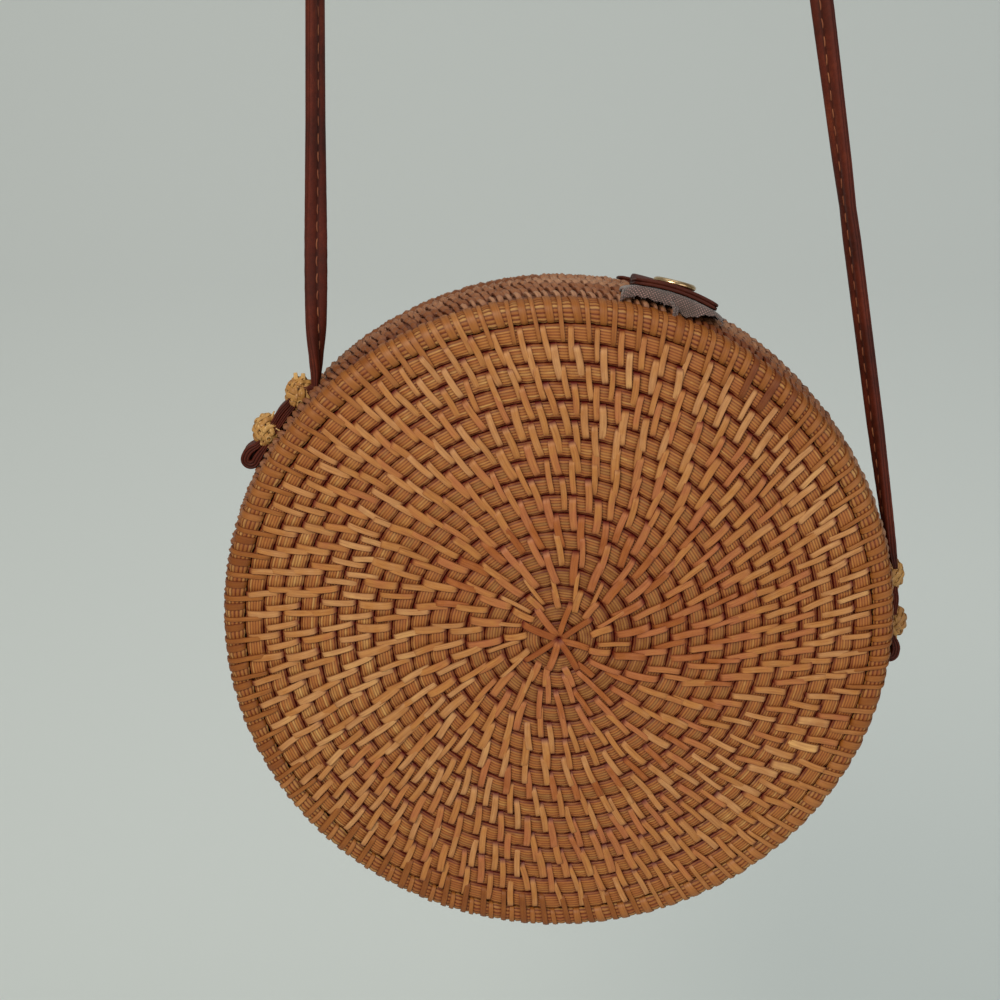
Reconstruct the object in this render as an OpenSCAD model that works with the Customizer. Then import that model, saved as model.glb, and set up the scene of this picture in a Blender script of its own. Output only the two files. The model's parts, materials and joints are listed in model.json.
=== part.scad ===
// Round rattan shoulder bag, hanging from a peg by its leather strap.
// World frame: origin on the peg's axis, +Z up, +Y away from the viewer.
// Bag frame: origin on the bag's axis in the plane of its front rim,
// +Y towards the back of the bag, +Z towards the clasp.

/* [Bag] */
// Radius of the front rim, over its border row
rim_r = 100; // [85:1:115]
// How much smaller the radius of the rear rim is
rear_taper = 4.5; // [0:0.5:9]
// How much larger the radius of both mouths is, where the two halves meet
mouth_flare = 0.8; // [0:0.1:2]
// Depth of the front half, from its rim to its mouth
front_depth = 33.8; // [30:0.2:36]
// Depth of the rear half, from its rim to its mouth
rear_depth = 27.8; // [24:0.2:32]
// How far the wall swells between rim and mouth
wall_swell = 0.7; // [0:0.1:1.5]
// How far the front face is domed
front_dome = 5.3; // [3:0.1:7]
// How far the rear face is domed
rear_dome = 4.5; // [3:0.1:7]

/* [Coiled reed] */
// Thickness of a coiled row
reed_t = 3.2; // [2.8:0.1:3.6]
// Depth of the groove between two rows
groove = 0.7; // [0.4:0.1:0.9]
// Rows of the coil on each face
face_rows = 17; // [12:1:22]
// Rows of the coil round the front wall
front_wall_rows = 4; // [3:1:6]
// Rows of the coil round the rear wall
rear_wall_rows = 3; // [2:1:5]
// Width of the border row, on the face and on the wall
edge_w = 6.5; // [5:0.5:8]
// Width of the thick row round each mouth
mouth_w = 5; // [4:0.5:6]
// How far the border and mouth rows stand proud
row_proud = 0.4; // [0.2:0.1:0.6]
// Thickness of the cloth lining
lining_t = 0.6; // [0.4:0.1:1]

/* [Strap] */
// Width of the folded leather strap
strap_w = 6.6; // [5:0.2:8]
// Thickness of the folded leather strap
strap_t = 2.8; // [2.2:0.1:3]
// Depth of the strap's middle behind the front rim
strap_y = 21; // [19:0.5:23]
// Angle of each strap exit from the top of the bag
exit_angle = 61.5; // [58:0.5:62]
// Angle of each upper knot from the top of the bag
upper_knot_angle = 67; // [66.5:0.5:69]
// Angle of each lower knot from the top of the bag
lower_knot_angle = 76.2; // [75:0.2:78]
// Angle of each strap end's loop from the top of the bag
loop_angle = 81.5; // [81:0.5:84]
// Radius of a woven ball knot
knot_r = 4.2; // [3.6:0.1:4.3]

/* [Hanging] */
// Radius of the peg that the strap rests on
peg_r = 25; // [15:1:30]
// Drop from the peg's axis to the bag's axis
bag_drop = 586; // [500:1:620]
// Sideways place of the bag's axis
bag_x = 31; // [20:1:40]
// Turn of the bag, clockwise as its front is seen
hang_roll = 17.5; // [0:0.5:20]

/* [Clasp] */
// Width of the leather flap
flap_w = 25.4; // [20:0.2:30]
// Thickness of the flap, two layers of leather
flap_t = 2.6; // [2:0.1:3]
// Depth of the flap's free end behind the front rim
flap_front_y = 7; // [5:0.5:9]
// Depth of the snap's middle behind the front rim
snap_y = 19; // [17:0.5:21]
// Radius of the snap's brass cap
cap_r = 6.4; // [5.5:0.1:7]
// Width of the cloth tab under the flap
cloth_w = 30; // [28:0.5:32]

/* [Hinge] */
// Radius of the reed that the lid turns on
hinge_reed_r = 1.5; // [1.2:0.1:1.8]
// Length of the hinge reed
hinge_l = 46; // [44:1:56]

/* [Hidden] */
$fn = 96;

// Colours
reed_colour = "#b9803f";
border_colour = "#c08a45";
wall_colour = "#a4724d";
lining_colour = "#6e5a52";
leather_colour = "#55291d";
straw_colour = "#c99a55";
brass_colour = "#b99b5a";
steel_colour = "#8f8c85";
cloth_colour = "#8a7b78";
thread_colour = "#9a7a52";

// Fits and small allowances
overrun = 1;            // how far a cutter passes the face it cuts
seam_gap = 0.4;         // between the two closed mouths
cloth_gap = 0.1;        // between the lining and the reeds
body_gap = 0.35;        // between pieces that move past each other
seat_gap = 0.05;        // between a pressed-in piece and its seat
hinge_fit = 0.05;       // radial clearance of the lashing on its reed
stem_fit = 0.1;         // radial clearance of a stem in its hole

// Radii of the rear rim and of both mouths
rear_rim_r = rim_r - rear_taper;
mouth_r = rim_r + mouth_flare;

// Places along the bag's axis
seam_y = front_depth + seam_gap / 2;
rear_y = front_depth + seam_gap + rear_depth;

// Radius of a wall's crest at the depth y below its rim
function wall_radius(rim, mouth, depth, y) =
    let (u = y / depth) rim + (mouth - rim) * u + wall_swell * 4 * u * (1 - u);
// Height of a domed face at the radius r: negative is outwards
function face_height(rim, dome, r) =
    -dome * (1 - pow(min(r / (rim - edge_w), 1), 2));

function front_radius(y) = wall_radius(rim_r, mouth_r, front_depth, y);
function rear_radius(y) = wall_radius(rear_rim_r, mouth_r, rear_depth, rear_y - y);

// Shares of a row's width at which its crest starts and ends
crest_shares = [0, 0.22, 0.78];

// A half of the bag is drawn with its rim at y = 0 and its mouth at y = depth.
module about_axis() rotate([-90, 0, 0]) rotate_extrude() children();

// One face of the bag: a disc of coiled rows
module coil_face(rim, dome) {
    pitch = (rim - edge_w) / face_rows;
    stations = [for (k = [0:face_rows - 1], s = crest_shares) [(k + s) * pitch, s == 0 ? groove : 0]];
    last = [rim - edge_w, groove];
    outer = [for (p = concat(stations, [last]))
        [p[0], face_height(rim, dome, p[0]) + (p[0] == 0 ? 0 : p[1])]];
    inner = [for (p = concat(stations, [last]))
        [p[0], face_height(rim, dome, p[0]) + reed_t - (p[0] == 0 ? 0 : p[1])]];
    about_axis() polygon(concat(outer, [for (k = [len(inner) - 1:-1:0]) inner[k]]));
}

// The border row, which turns the corner from face to wall
module border_row(rim, mouth, depth) {
    corner = edge_w / 2;
    wall_r = wall_radius(rim, mouth, depth, edge_w);
    arc_steps = 6;
    arc = [for (k = [0:arc_steps]) let (a = -90 + 90 * k / arc_steps)
        [rim - corner + corner * cos(a), corner - row_proud + corner * sin(a)]];
    about_axis() polygon(concat(
        [[rim - edge_w, 0], [rim - edge_w + row_proud, -row_proud]], arc,
        [[wall_r, edge_w], [wall_r - reed_t, edge_w], [wall_r - reed_t, reed_t + row_proud],
            [wall_r - reed_t - row_proud, reed_t], [rim - edge_w, reed_t]]));
}

// The coiled rows of a wall
module coil_wall(rim, mouth, depth, rows) {
    pitch = (depth - edge_w - mouth_w) / rows;
    stations = concat(
        [for (k = [0:rows - 1], s = crest_shares) [edge_w + (k + s) * pitch, s == 0 ? groove : 0]],
        [[depth - mouth_w, groove]]);
    outer = [for (p = stations) [wall_radius(rim, mouth, depth, p[0]) - p[1], p[0]]];
    inner = [for (k = [len(stations) - 1:-1:0]) let (p = stations[k])
        [wall_radius(rim, mouth, depth, p[0]) - reed_t + p[1], p[0]]];
    about_axis() polygon(concat(outer, inner));
}

// The thick row round a mouth, rounded on both sides
module mouth_row(rim, mouth, depth) {
    start_r = wall_radius(rim, mouth, depth, depth - mouth_w);
    about_axis() polygon([
        [start_r, depth - mouth_w], [mouth + row_proud, depth - mouth_w * 3 / 4],
        [mouth + row_proud, depth - mouth_w / 4], [mouth - row_proud, depth],
        [mouth - reed_t, depth], [mouth - reed_t - row_proud, depth - mouth_w / 4],
        [mouth - reed_t - row_proud, depth - mouth_w * 3 / 4], [start_r - reed_t, depth - mouth_w]]);
}

// The cloth cup inside a half
module lining(rim, mouth, depth, dome) {
    inset = reed_t + cloth_gap;
    turn_r = rim - edge_w;
    face_steps = 8;
    face_line = [for (k = [0:face_steps]) let (r = turn_r * k / face_steps)
        [r, face_height(rim, dome, r) + inset + row_proud]];
    wall_line = [for (k = [0:3]) let (y = edge_w + (depth - mouth_w - edge_w) * k / 3)
        [wall_radius(rim, mouth, depth, y) - inset - row_proud, y]];
    line = concat(face_line, wall_line);
    about_axis() polygon(concat(line,
        [for (k = [len(line) - 1:-1:0]) line[k] + (k > face_steps ? [-lining_t, 0]
            : k == face_steps ? [-lining_t, lining_t] : [0, lining_t])]));
}

// Holes through the front wall: one for each knot's stem and one for the stud's post
module stem_holes(r) {
    for (a = [-lower_knot_angle, -upper_knot_angle, upper_knot_angle, lower_knot_angle])
        at_wall(a, rim_r - edge_w) cylinder(r = r, h = 3 * edge_w);
}

// The bag hangs by its strap, turned a little
module hang() translate([bag_x, -strap_y, -bag_drop]) rotate([0, hang_roll, 0]) children();
module rear_half() translate([0, rear_y, 0]) mirror([0, 1, 0]) children();
// A place on the wall: angle from the top, clockwise as the front is seen, and radius
module at_wall(angle, radius) rotate([0, angle, 0]) translate([0, strap_y, radius]) children();

module front_face() color(reed_colour) hang() coil_face(rim_r, front_dome);
module front_border_row() color(border_colour) hang() border_row(rim_r, mouth_r, front_depth);
module front_mouth_row() color(wall_colour) hang() difference() {
    mouth_row(rim_r, mouth_r, front_depth);
    lashing_legs(-1, stem_fit);
}
module front_wall() color(wall_colour) hang() difference() {
    coil_wall(rim_r, mouth_r, front_depth, front_wall_rows);
    stem_holes(stem_r + stem_fit);
    stud_place(rim_r - edge_w) cylinder(r = post_r + stem_fit, h = 3 * edge_w);
}
module front_lining() color(lining_colour) hang() difference() {
    lining(rim_r, mouth_r, front_depth, front_dome);
    stem_holes(stem_r + stem_fit);
    stud_place(rim_r - edge_w) cylinder(r = post_r + stem_fit, h = 3 * edge_w);
}

module rear_face() color(reed_colour) hang() rear_half() coil_face(rear_rim_r, rear_dome);
module rear_border_row() color(border_colour) hang() rear_half()
    border_row(rear_rim_r, mouth_r, rear_depth);
module rear_mouth_row() color(wall_colour) hang() difference() {
    rear_half() mouth_row(rear_rim_r, mouth_r, rear_depth);
    lashing_legs(1, stem_fit);
}
module rear_wall() color(wall_colour) hang() difference() {
    rear_half() coil_wall(rear_rim_r, mouth_r, rear_depth, rear_wall_rows);
    stitch_holes();
}
module rear_lining() color(lining_colour) hang() difference() {
    rear_half() lining(rear_rim_r, mouth_r, rear_depth, rear_dome);
    stitch_holes();
}

// Hinge: a reed along the bottom of the seam, lashed to the front half near its ends,
// and a lashing of the rear half that turns on its middle
lash_t = 0.9;                                      // thickness of a lashing
lash_r = hinge_reed_r + lash_t;                    // radius of its eye
row_r = mouth_r + row_proud;                       // crest of a mouth row
hinge_z = row_r + body_gap + lash_r;               // drop of the reed below the bag's axis
front_lash_w = 8;                                  // width of each front lashing
rear_lash_w = 20;                                  // width of the rear lashing
front_lash_x = (rear_lash_w + front_lash_w) / 2 + body_gap;
leg_r = 0.8;                                       // radius of a lashing's leg
leg_share = 0.3;                                   // a leg's place in its lashing's width
clinch_t = 1.2;                                    // thickness of what holds a leg inside

module hinge_place(x) translate([x, seam_y, -hinge_z]) rotate([0, 90, 0]) children();
// A cylinder on the bag's axis, across both mouth rows
module seam_cylinder(r) translate([0, seam_y, 0]) rotate([90, 0, 0])
    cylinder(r = r, h = 4 * mouth_w, center = true);
// A block under the bag on one side of the seam: side is -1 in front and 1 behind
module seam_block(x, width, side, near, far)
    translate([x - width / 2, seam_y + (side < 0 ? -far : near), -hinge_z])
        cube([width, far - near, hinge_z]);

module lashing_legs(side, extra) {
    width = side < 0 ? front_lash_w : rear_lash_w;
    for (m = side < 0 ? [-1, 1] : [0], s = [-1, 1])
        translate([m * front_lash_x + s * leg_share * width, seam_y + side * mouth_w / 2, -row_r - extra])
            cylinder(r = leg_r + extra, h = reed_t + 2 * row_proud + 2 * (clinch_t + extra));
}
// One lashing: an eye round the reed, a web up to the pad that hugs the mouth row,
// two legs through the row and a clinch inside
module lashing(x, width, bore, side) {
    inner_r = mouth_r - reed_t - row_proud - seat_gap;
    difference() {
        union() {
            hinge_place(x) cylinder(r = lash_r, h = width, center = true);
            difference() {
                intersection() {
                    seam_block(x, width, side, seam_gap / 2, mouth_w);
                    seam_cylinder(row_r + lash_t);
                }
                seam_cylinder(row_r + seat_gap);
            }
            difference() {
                seam_block(x, width, side, seam_gap / 2, lash_r - lash_t / 2);
                seam_cylinder(row_r + seat_gap);
            }
        }
        hinge_place(x) cylinder(r = bore, h = width + 2 * overrun, center = true);
    }
    intersection() {
        lashing_legs(side, 0);
        seam_block(x, width, side, 0, mouth_w);
    }
    difference() {
        intersection() {
            seam_block(x, 2 * (leg_share * width + leg_r), side,
                mouth_w / 2 - leg_r - lash_t / 4, mouth_w / 2 + leg_r + lash_t / 4);
            seam_cylinder(inner_r);
        }
        seam_cylinder(inner_r - clinch_t);
    }
}

module hinge_reed() color(straw_colour) hang()
    hinge_place(0) cylinder(r = hinge_reed_r, h = hinge_l, center = true);
module hinge_front_lashings() color(straw_colour) hang()
    for (m = [-1, 1]) lashing(m * front_lash_x, front_lash_w, hinge_reed_r, -1);
module hinge_rear_lashing() color(straw_colour) hang()
    lashing(0, rear_lash_w, hinge_reed_r + hinge_fit, 1);

// Clasp: a leather flap, sewn to the rear wall, that carries the snap's socket and cap
// and lies on the stud of the front wall
inside_t = reed_t + row_proud + cloth_gap + lining_t;  // from a wall's crest to its lining
flap_setback = 12.5;                               // from the seam to the flap's bend
flap_axis_y = seam_y + flap_setback;
flap_base_end_y = rear_y - edge_w + body_gap;      // rear end of the sewn base
flap_axis_r = rear_radius(flap_axis_y) + body_gap + flap_t / 2;
flap_rise = 4.5;                                   // of the free end above the bend
flap_rise_share = 0.6;                             // share of the free length that rises
flap_rise_power = 2.6;                             // how early it rises
flap_corner_r = 5;                                 // of the free end's rounded corners
bend_gap = 1.7;                                    // from the flap's bend to its base
flap_steps = 10;
base_steps = 4;
post_r = 1.2;                                      // radius of the snap's posts
stud_flange_r = 4.6;                               // radius of the stud's flange and backplate
stud_flange_t = 0.6;
stud_knob_r = 2.4;
stud_knob_h = 1.1;
socket_r = 4.4;
socket_t = 1;
cap_t = 1.7;                                       // height of the cap
cap_rim_t = 0.8;                                   // height of its straight rim
cloth_t = 0.7;                                     // thickness of the cloth tab
cloth_sag = 2.2;                                   // of the cloth's edges below its crown
cloth_proud = 1.2;                                 // of the cloth in front of the flap
cloth_clear = 1;                                   // from the cloth to the mouth row
cloth_front_y = flap_front_y - cloth_proud;
cloth_rear_y = front_depth - mouth_w - cloth_clear;
stitch_r = 0.45;                                   // radius of a thread
stitch_l = 5;                                      // length of a stitch
stitch_pitch = 8;
stitch_y = (flap_axis_y + flap_base_end_y) / 2 + flap_t / 4;

// Underside of the free flap above the bag's axis, at the depth y
function flap_under(y) =
    let (u = min((flap_axis_y - y) / ((flap_axis_y - flap_front_y) * flap_rise_share), 1))
    flap_axis_r - flap_t / 2 + flap_rise * (1 - pow(1 - u, flap_rise_power));
flap_stations = [for (k = [0:flap_steps]) flap_front_y + (flap_axis_y - flap_front_y) * k / flap_steps];
flap_flat_r = flap_under(snap_y);
socket_top_r = sqrt(pow(flap_flat_r, 2) - pow(socket_r, 2));  // seated across the flap's curve
cloth_crown = flap_under(cloth_rear_y) - seat_gap;
cloth_arc_r = (pow(cloth_w / 2, 2) + pow(cloth_sag, 2)) / (2 * cloth_sag);

plate_low_r = front_radius(snap_y) - inside_t - body_gap - clinch_t;  // inside of the backplate

// A place on the bag's top at the depth of the snap, at the radius r
module stud_place(r) translate([0, snap_y, r]) children();
// The leather flap's outline, seen from above
module flap_outline() {
    front = flap_front_y + flap_corner_r;
    x = flap_w / 2 - flap_corner_r;
    for (s = [-1, 1]) translate([s * x, front, 0]) cylinder(r = flap_corner_r, h = 2 * rim_r);
    translate([-x, flap_front_y, 0]) cube([2 * x, flap_corner_r, 2 * rim_r]);
    translate([-flap_w / 2, front, 0]) cube([flap_w, flap_axis_y - front, 2 * rim_r]);
}

module clasp_flap() color(leather_colour) hang() {
    difference() {
        intersection() {
            about_axis() polygon(concat(
                [for (y = flap_stations) [flap_under(y), y]],
                [for (k = [flap_steps:-1:0]) [flap_under(flap_stations[k]) + flap_t, flap_stations[k]]]));
            flap_outline();
        }
        stud_place(0) cylinder(r = post_r + stem_fit, h = 2 * rim_r);
    }
    translate([0, flap_axis_y, flap_axis_r]) rotate([0, 90, 0])
        cylinder(r = flap_t / 2, h = flap_w, center = true);
}
module flap_base() color(leather_colour) hang() difference() {
    front = flap_axis_y + flap_t / 2 + bend_gap;
    stations = [for (k = [0:base_steps]) front + (flap_base_end_y - front) * k / base_steps];
    intersection() {
        about_axis() polygon(concat(
            [for (y = stations) [rear_radius(y) + seat_gap, y]],
            [for (k = [base_steps:-1:0]) [rear_radius(stations[k]) + seat_gap + flap_t, stations[k]]]));
        translate([-flap_w / 2, 0, 0]) cube([flap_w, rear_y, 2 * rim_r]);
    }
    stitch_holes();
}
module stitch_place(m, x, r) rotate([0, m * stitch_pitch * 180 / (PI * rear_rim_r), 0])
    translate([x, stitch_y, r]) children();
module stitch_holes() for (m = [-1:1], s = [-1, 1])
    stitch_place(m, s * (stitch_l / 2 - stitch_r), rear_rim_r - edge_w)
        cylinder(r = stitch_r + seat_gap, h = 2 * edge_w);
module flap_stitches() color(thread_colour) hang() for (m = [-1:1]) {
    top_r = rear_radius(stitch_y) + flap_t + stitch_r + 2 * seat_gap;
    low_r = rear_radius(stitch_y) - inside_t - 2 * stitch_r;
    for (r = [low_r, top_r]) stitch_place(m, 0, r) rotate([0, 90, 0])
        cylinder(r = stitch_r, h = stitch_l, center = true);
    for (s = [-1, 1]) stitch_place(m, s * (stitch_l / 2 - stitch_r), low_r)
        cylinder(r = stitch_r, h = top_r - low_r);
}
// The cloth under the flap, arched over the stud
module cloth_tab() color(cloth_colour) hang() difference() {
    intersection() {
        translate([0, cloth_front_y, cloth_crown - cloth_arc_r]) rotate([-90, 0, 0])
            cylinder(r = cloth_arc_r, h = cloth_rear_y - cloth_front_y);
        translate([-cloth_w / 2, cloth_front_y, cloth_crown - 3 * cloth_sag])
            cube([cloth_w, cloth_rear_y - cloth_front_y, 4 * cloth_sag]);
    }
    translate([0, cloth_front_y - overrun, cloth_crown - cloth_arc_r]) rotate([-90, 0, 0])
        cylinder(r = cloth_arc_r - cloth_t, h = cloth_rear_y - cloth_front_y + 2 * overrun);
    stud_place(0) cylinder(r = socket_r + body_gap, h = 2 * rim_r);
}

module snap_stud() color(brass_colour) hang() {
    seat_r = front_radius(snap_y) + seat_gap;
    stud_place(seat_r) {
        cylinder(r = stud_flange_r, h = stud_flange_t);
        rotate_extrude() polygon([[0, 0], [stud_knob_r * 3 / 4, 0], [stud_knob_r * 3 / 4, stud_flange_t],
            [stud_knob_r, stud_flange_t + stud_knob_h / 2],
            [stud_knob_r * 2 / 3, stud_flange_t + stud_knob_h], [0, stud_flange_t + stud_knob_h]]);
    }
    stud_place(plate_low_r) cylinder(r = post_r, h = seat_r - plate_low_r + stud_flange_t / 2);
}
module snap_backplate() color(steel_colour) hang() difference() {
    stud_place(plate_low_r) cylinder(r = stud_flange_r, h = clinch_t);
    stud_place(0) cylinder(r = post_r, h = 2 * rim_r);
}
module snap_socket() color(steel_colour) hang()
    stud_place(socket_top_r - socket_t) rotate_extrude() polygon([
        [0, socket_t / 2], [stud_knob_r + body_gap, socket_t / 2], [stud_knob_r + body_gap, 0],
        [socket_r - socket_t / 2, 0], [socket_r, socket_t / 2], [socket_r, socket_t], [0, socket_t]]);
module snap_cap() color(brass_colour) hang() {
    crown = cap_t - cap_rim_t;
    stud_place(flap_flat_r + flap_t) rotate_extrude() polygon([
        [0, 0], [cap_r, 0], [cap_r, cap_rim_t], [cap_r - crown / 2, cap_t - crown / 4],
        [cap_r - crown, cap_t], [cap_r / 2, cap_t], [cap_r / 3, cap_t - cap_rim_t / 4],
        [0, cap_t - cap_rim_t / 4]]);
    stud_place(socket_top_r) cylinder(r = post_r, h = flap_flat_r - socket_top_r + flap_t + cap_rim_t);
}

// Strap: one folded leather strap over the peg. Each end goes down the wall, turns round
// in a loop, comes back under itself and is held by two ball knots.
leather_chamfer = 0.5;                             // of the strap's long edges
exit_rise = 2.7;                                   // of the strap's middle above its seat, at its exits
layer_t = 2;                                       // thickness of a layer on the wall
pressed_t = 1.15;                                  // thickness of a layer under a knot
press_share = 0.9;                                 // share of a knot's radius that presses
layer_gap = 0.1;                                   // between the two layers
loop_r = 3.2;                                      // outer radius of an end's loop
loop_steps = 10;
bulge = 1.3;                                       // of the strap between its two knots
strap_seat_gap = 0.15;                             // between the strap and the wall under it
wall_seat = front_radius(strap_y) + strap_seat_gap;
exit_r = wall_seat + exit_rise;
stem_r = 1;                                        // radius of a knot's stem
clinch_r = 2.4;                                    // radius of its clinch inside
knot_seat = wall_seat + body_gap / 2 + knot_r;     // radius of a knot's centre
band_w = 2.2;                                      // width of a knot's woven band
band_t = 0.8;                                      // thickness of a band
peg_bend_r = peg_r + strap_t / 2;

// From the bag's frame to the hanging frame, in the plane of the strap
function hung(x, z) = [bag_x + x * cos(hang_roll) + z * sin(hang_roll),
    z * cos(hang_roll) - x * sin(hang_roll) - bag_drop];
function exit_point(side) = hung(side * exit_r * sin(exit_angle), exit_r * cos(exit_angle));
// Angle on the peg at which a strand comes off it
function off_angle(side) = let (p = exit_point(side))
    atan2(p[1], p[0]) + side * acos(peg_bend_r / norm(p));
// The strap turns as it rises: [distance from the exit in strap widths, angle of its width
// from the plane of the bag's face]
left_turn_shares = [
    [0, 90], [1.4, 78], [3, 52], [5, 22], [7, 15], [11, 20], [17, 52], [25, 68], [45, 85], [60, 90]];
right_turn_shares = [
    [0, 90], [1.4, 82], [3, 70], [6, 62], [11, 55], [17, 42], [24, 26], [32, 30], [48, 75], [62, 90]];
strand_rings = 28;
tip_share = 0.65;                                  // a lower end's rounding, as a share of the thickness
ring_power = 1.6;                                  // closes the rings up towards the exit
tip_steps = 3;                                     // rings that round a strand's lower end

section = let (w = strap_w / 2, t = strap_t / 2, c = leather_chamfer)
    [[t, c - w], [t, w - c], [t - c, w], [c - t, w], [-t, w - c], [-t, c - w], [c - t, -w], [t - c, -w]];

// One free strand, from its exit on the wall to the peg
module strand(side, turns) {
    start = exit_point(side);
    a = off_angle(side);
    end = peg_bend_r * [cos(a), sin(a)];
    along = (end - start) / norm(end - start);
    inward = side * [-along[1], along[0]];
    sides = len(section);
    tip = [for (k = [1:tip_steps]) let (lift = -90 + 90 * k / (tip_steps + 1))
        [tip_share * strap_t * sin(lift), cos(lift)]];
    rise = [for (k = [0:strand_rings]) [norm(end - start) * pow(k / strand_rings, ring_power), 1]];
    rings = [for (s = concat(tip, rise)) let (
        turn = s[0] >= norm(end - start) ? 90 : lookup(s[0] / strap_w, turns),
        p = start + along * s[0])
        [for (q = section) let (w = q[1] * s[1]) [
            p[0] + inward[0] * (q[0] * sin(turn) + w * cos(turn)),
            -q[0] * cos(turn) + w * sin(turn),
            p[1] + inward[1] * (q[0] * sin(turn) + w * cos(turn))]]];
    points = [for (r = rings, p = r) p];
    last = (len(rings) - 1) * sides;
    skin = [for (k = [0:len(rings) - 2], j = [0:sides - 1])
        let (a = k * sides + j, b = k * sides + (j + 1) % sides)
        each [[a, b, b + sides], [a, b + sides, a + sides]]];
    caps = [[for (j = [sides - 1:-1:0]) j], [for (j = [0:sides - 1]) last + j]];
    faces = concat(skin, caps);
    polyhedron(points = points,
        faces = side > 0 ? [for (f = faces) [for (j = [len(f) - 1:-1:0]) f[j]]] : faces);
}
module strap_bend() color(leather_colour) rotate([90, 0, 0]) rotate([0, 0, off_angle(1)])
    rotate_extrude(angle = off_angle(-1) + 360 - off_angle(1)) translate([peg_bend_r, 0]) polygon(section);
module strap_left() color(leather_colour) strand(-1, left_turn_shares);
module strap_right() color(leather_colour) strand(1, right_turn_shares);

// The right-hand end, seen from the front: a ribbon that follows these stations of
// [angle from the top, radius of its middle, thickness]
pressed_r = wall_seat + layer_gap + 2 * pressed_t;  // top of the two layers under a knot
mid_angle = (upper_knot_angle + lower_knot_angle) / 2;
press_angle = knot_r * press_share * 180 / (PI * wall_seat);  // half of what a knot presses
start_angle = (exit_angle + upper_knot_angle - press_angle) / 2;
neck_angle = (lower_knot_angle + press_angle + loop_angle) / 2;
loop_c = wall_seat + loop_r;
function pressed(r) = [for (a = [upper_knot_angle, lower_knot_angle], s = [-1, 1])
    [a + s * press_angle, r, pressed_t]];
outer_pressed = pressed(pressed_r - pressed_t / 2);
inner_pressed = pressed(wall_seat + pressed_t / 2);
end_stations = concat(
    [[exit_angle, exit_r, layer_t], [start_angle, exit_r - bulge / 2, layer_t]],
    [outer_pressed[0], outer_pressed[1],
        [mid_angle, wall_seat + layer_gap + layer_t * 3 / 2 + bulge, layer_t],
        outer_pressed[2], outer_pressed[3],
        [neck_angle, wall_seat + layer_gap + layer_t * 3 / 2 + bulge / 2, layer_t]],
    [for (k = [0:loop_steps]) let (a = 90 - 180 * k / loop_steps, r = loop_r - layer_t / 2)
        [loop_angle + r * cos(a) * 180 / (PI * loop_c), loop_c + r * sin(a), layer_t]],
    [[neck_angle, wall_seat + layer_t / 2, layer_t],
        inner_pressed[3], inner_pressed[2],
        [mid_angle, wall_seat + layer_t / 2 + bulge * 3 / 4, layer_t],
        inner_pressed[1], inner_pressed[0]]);
function ribbon_side(stations, side) = let (
    p = [for (s = stations) s[1] * [sin(s[0]), cos(s[0])]], n = len(p))
    [for (k = [0:n - 1]) let (d = p[min(k + 1, n - 1)] - p[max(k - 1, 0)], u = d / norm(d))
        p[k] + side * stations[k][2] / 2 * [-u[1], u[0]]];
module strap_end() difference() {
    translate([0, strap_y + strap_w / 2, 0]) rotate([90, 0, 0]) linear_extrude(strap_w)
        let (a = ribbon_side(end_stations, 1), b = ribbon_side(end_stations, -1))
        polygon(concat(a, [for (k = [len(b) - 1:-1:0]) b[k]]));
    for (a = [upper_knot_angle, lower_knot_angle])
        at_wall(a, rim_r - edge_w) cylinder(r = stem_r + stem_fit, h = 3 * edge_w);
    translate([exit_r * sin(exit_angle), strap_y, exit_r * cos(exit_angle)]) rotate([0, 90, 0])
        cylinder(r = norm([strap_w, strap_t]) / 2 + body_gap, h = 4 * strap_t, center = true);
}
module strap_end_right() color(leather_colour) hang() strap_end();
module strap_end_left() color(leather_colour) hang() mirror([1, 0, 0]) strap_end();

// A ball knot of flat reed bands that sits on the pressed strap, with its stem through
// strap and wall and a clinch inside
knot_turns = [[0, 0, 0], [90, 0, 0], [0, 90, 0], [45, 35, 0], [-45, 35, 0]];
module knot(angle) at_wall(angle, 0) {
    intersection() {
        translate([0, 0, knot_seat]) {
            sphere(r = knot_r - band_t);
            for (t = knot_turns) rotate(t) rotate_extrude() translate([knot_r - 2 * band_t, -band_w / 2])
                square([2 * band_t, band_w]);
        }
        translate([0, 0, pressed_r + seat_gap]) cylinder(r = 2 * knot_r, h = 2 * knot_r);
    }
    low = front_radius(strap_y) - inside_t - 2 * seat_gap;
    translate([0, 0, low - clinch_t]) cylinder(r = clinch_r, h = clinch_t);
    translate([0, 0, low - clinch_t]) cylinder(r = stem_r, h = knot_seat - low + clinch_t);
}
module knot_left_upper() color(straw_colour) hang() knot(-upper_knot_angle);
module knot_left_lower() color(straw_colour) hang() knot(-lower_knot_angle);
module knot_right_upper() color(straw_colour) hang() knot(upper_knot_angle);
module knot_right_lower() color(straw_colour) hang() knot(lower_knot_angle);

front_face();
front_border_row();
front_wall();
front_mouth_row();
front_lining();
rear_face();
rear_border_row();
rear_wall();
rear_mouth_row();
rear_lining();
hinge_reed();
hinge_front_lashings();
hinge_rear_lashing();
snap_stud();
snap_backplate();
snap_socket();
snap_cap();
clasp_flap();
flap_base();
flap_stitches();
cloth_tab();
strap_bend();
strap_left();
strap_right();
strap_end_left();
strap_end_right();
knot_left_upper();
knot_left_lower();
knot_right_upper();
knot_right_lower();
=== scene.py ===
# %% [markdown]
# # A round rattan shoulder bag
# Two shallow drums of coiled rattan, hinged at the bottom and closed by a leather flap at the top, hang on a long
# folded leather strap. This lesson dresses the plain construction model in what the hand sees and feels: fine
# reeds, the flat strips that bind them, woven knots, sewn leather and a brass press stud.

# %% The fixed frame
import json
import random
from math import atan2, cos, degrees, floor, hypot, pi, radians, sin, sqrt, tau
import bpy
import bmesh
import numpy as np
from mathutils import Euler, Matrix, Vector, noise


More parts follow.
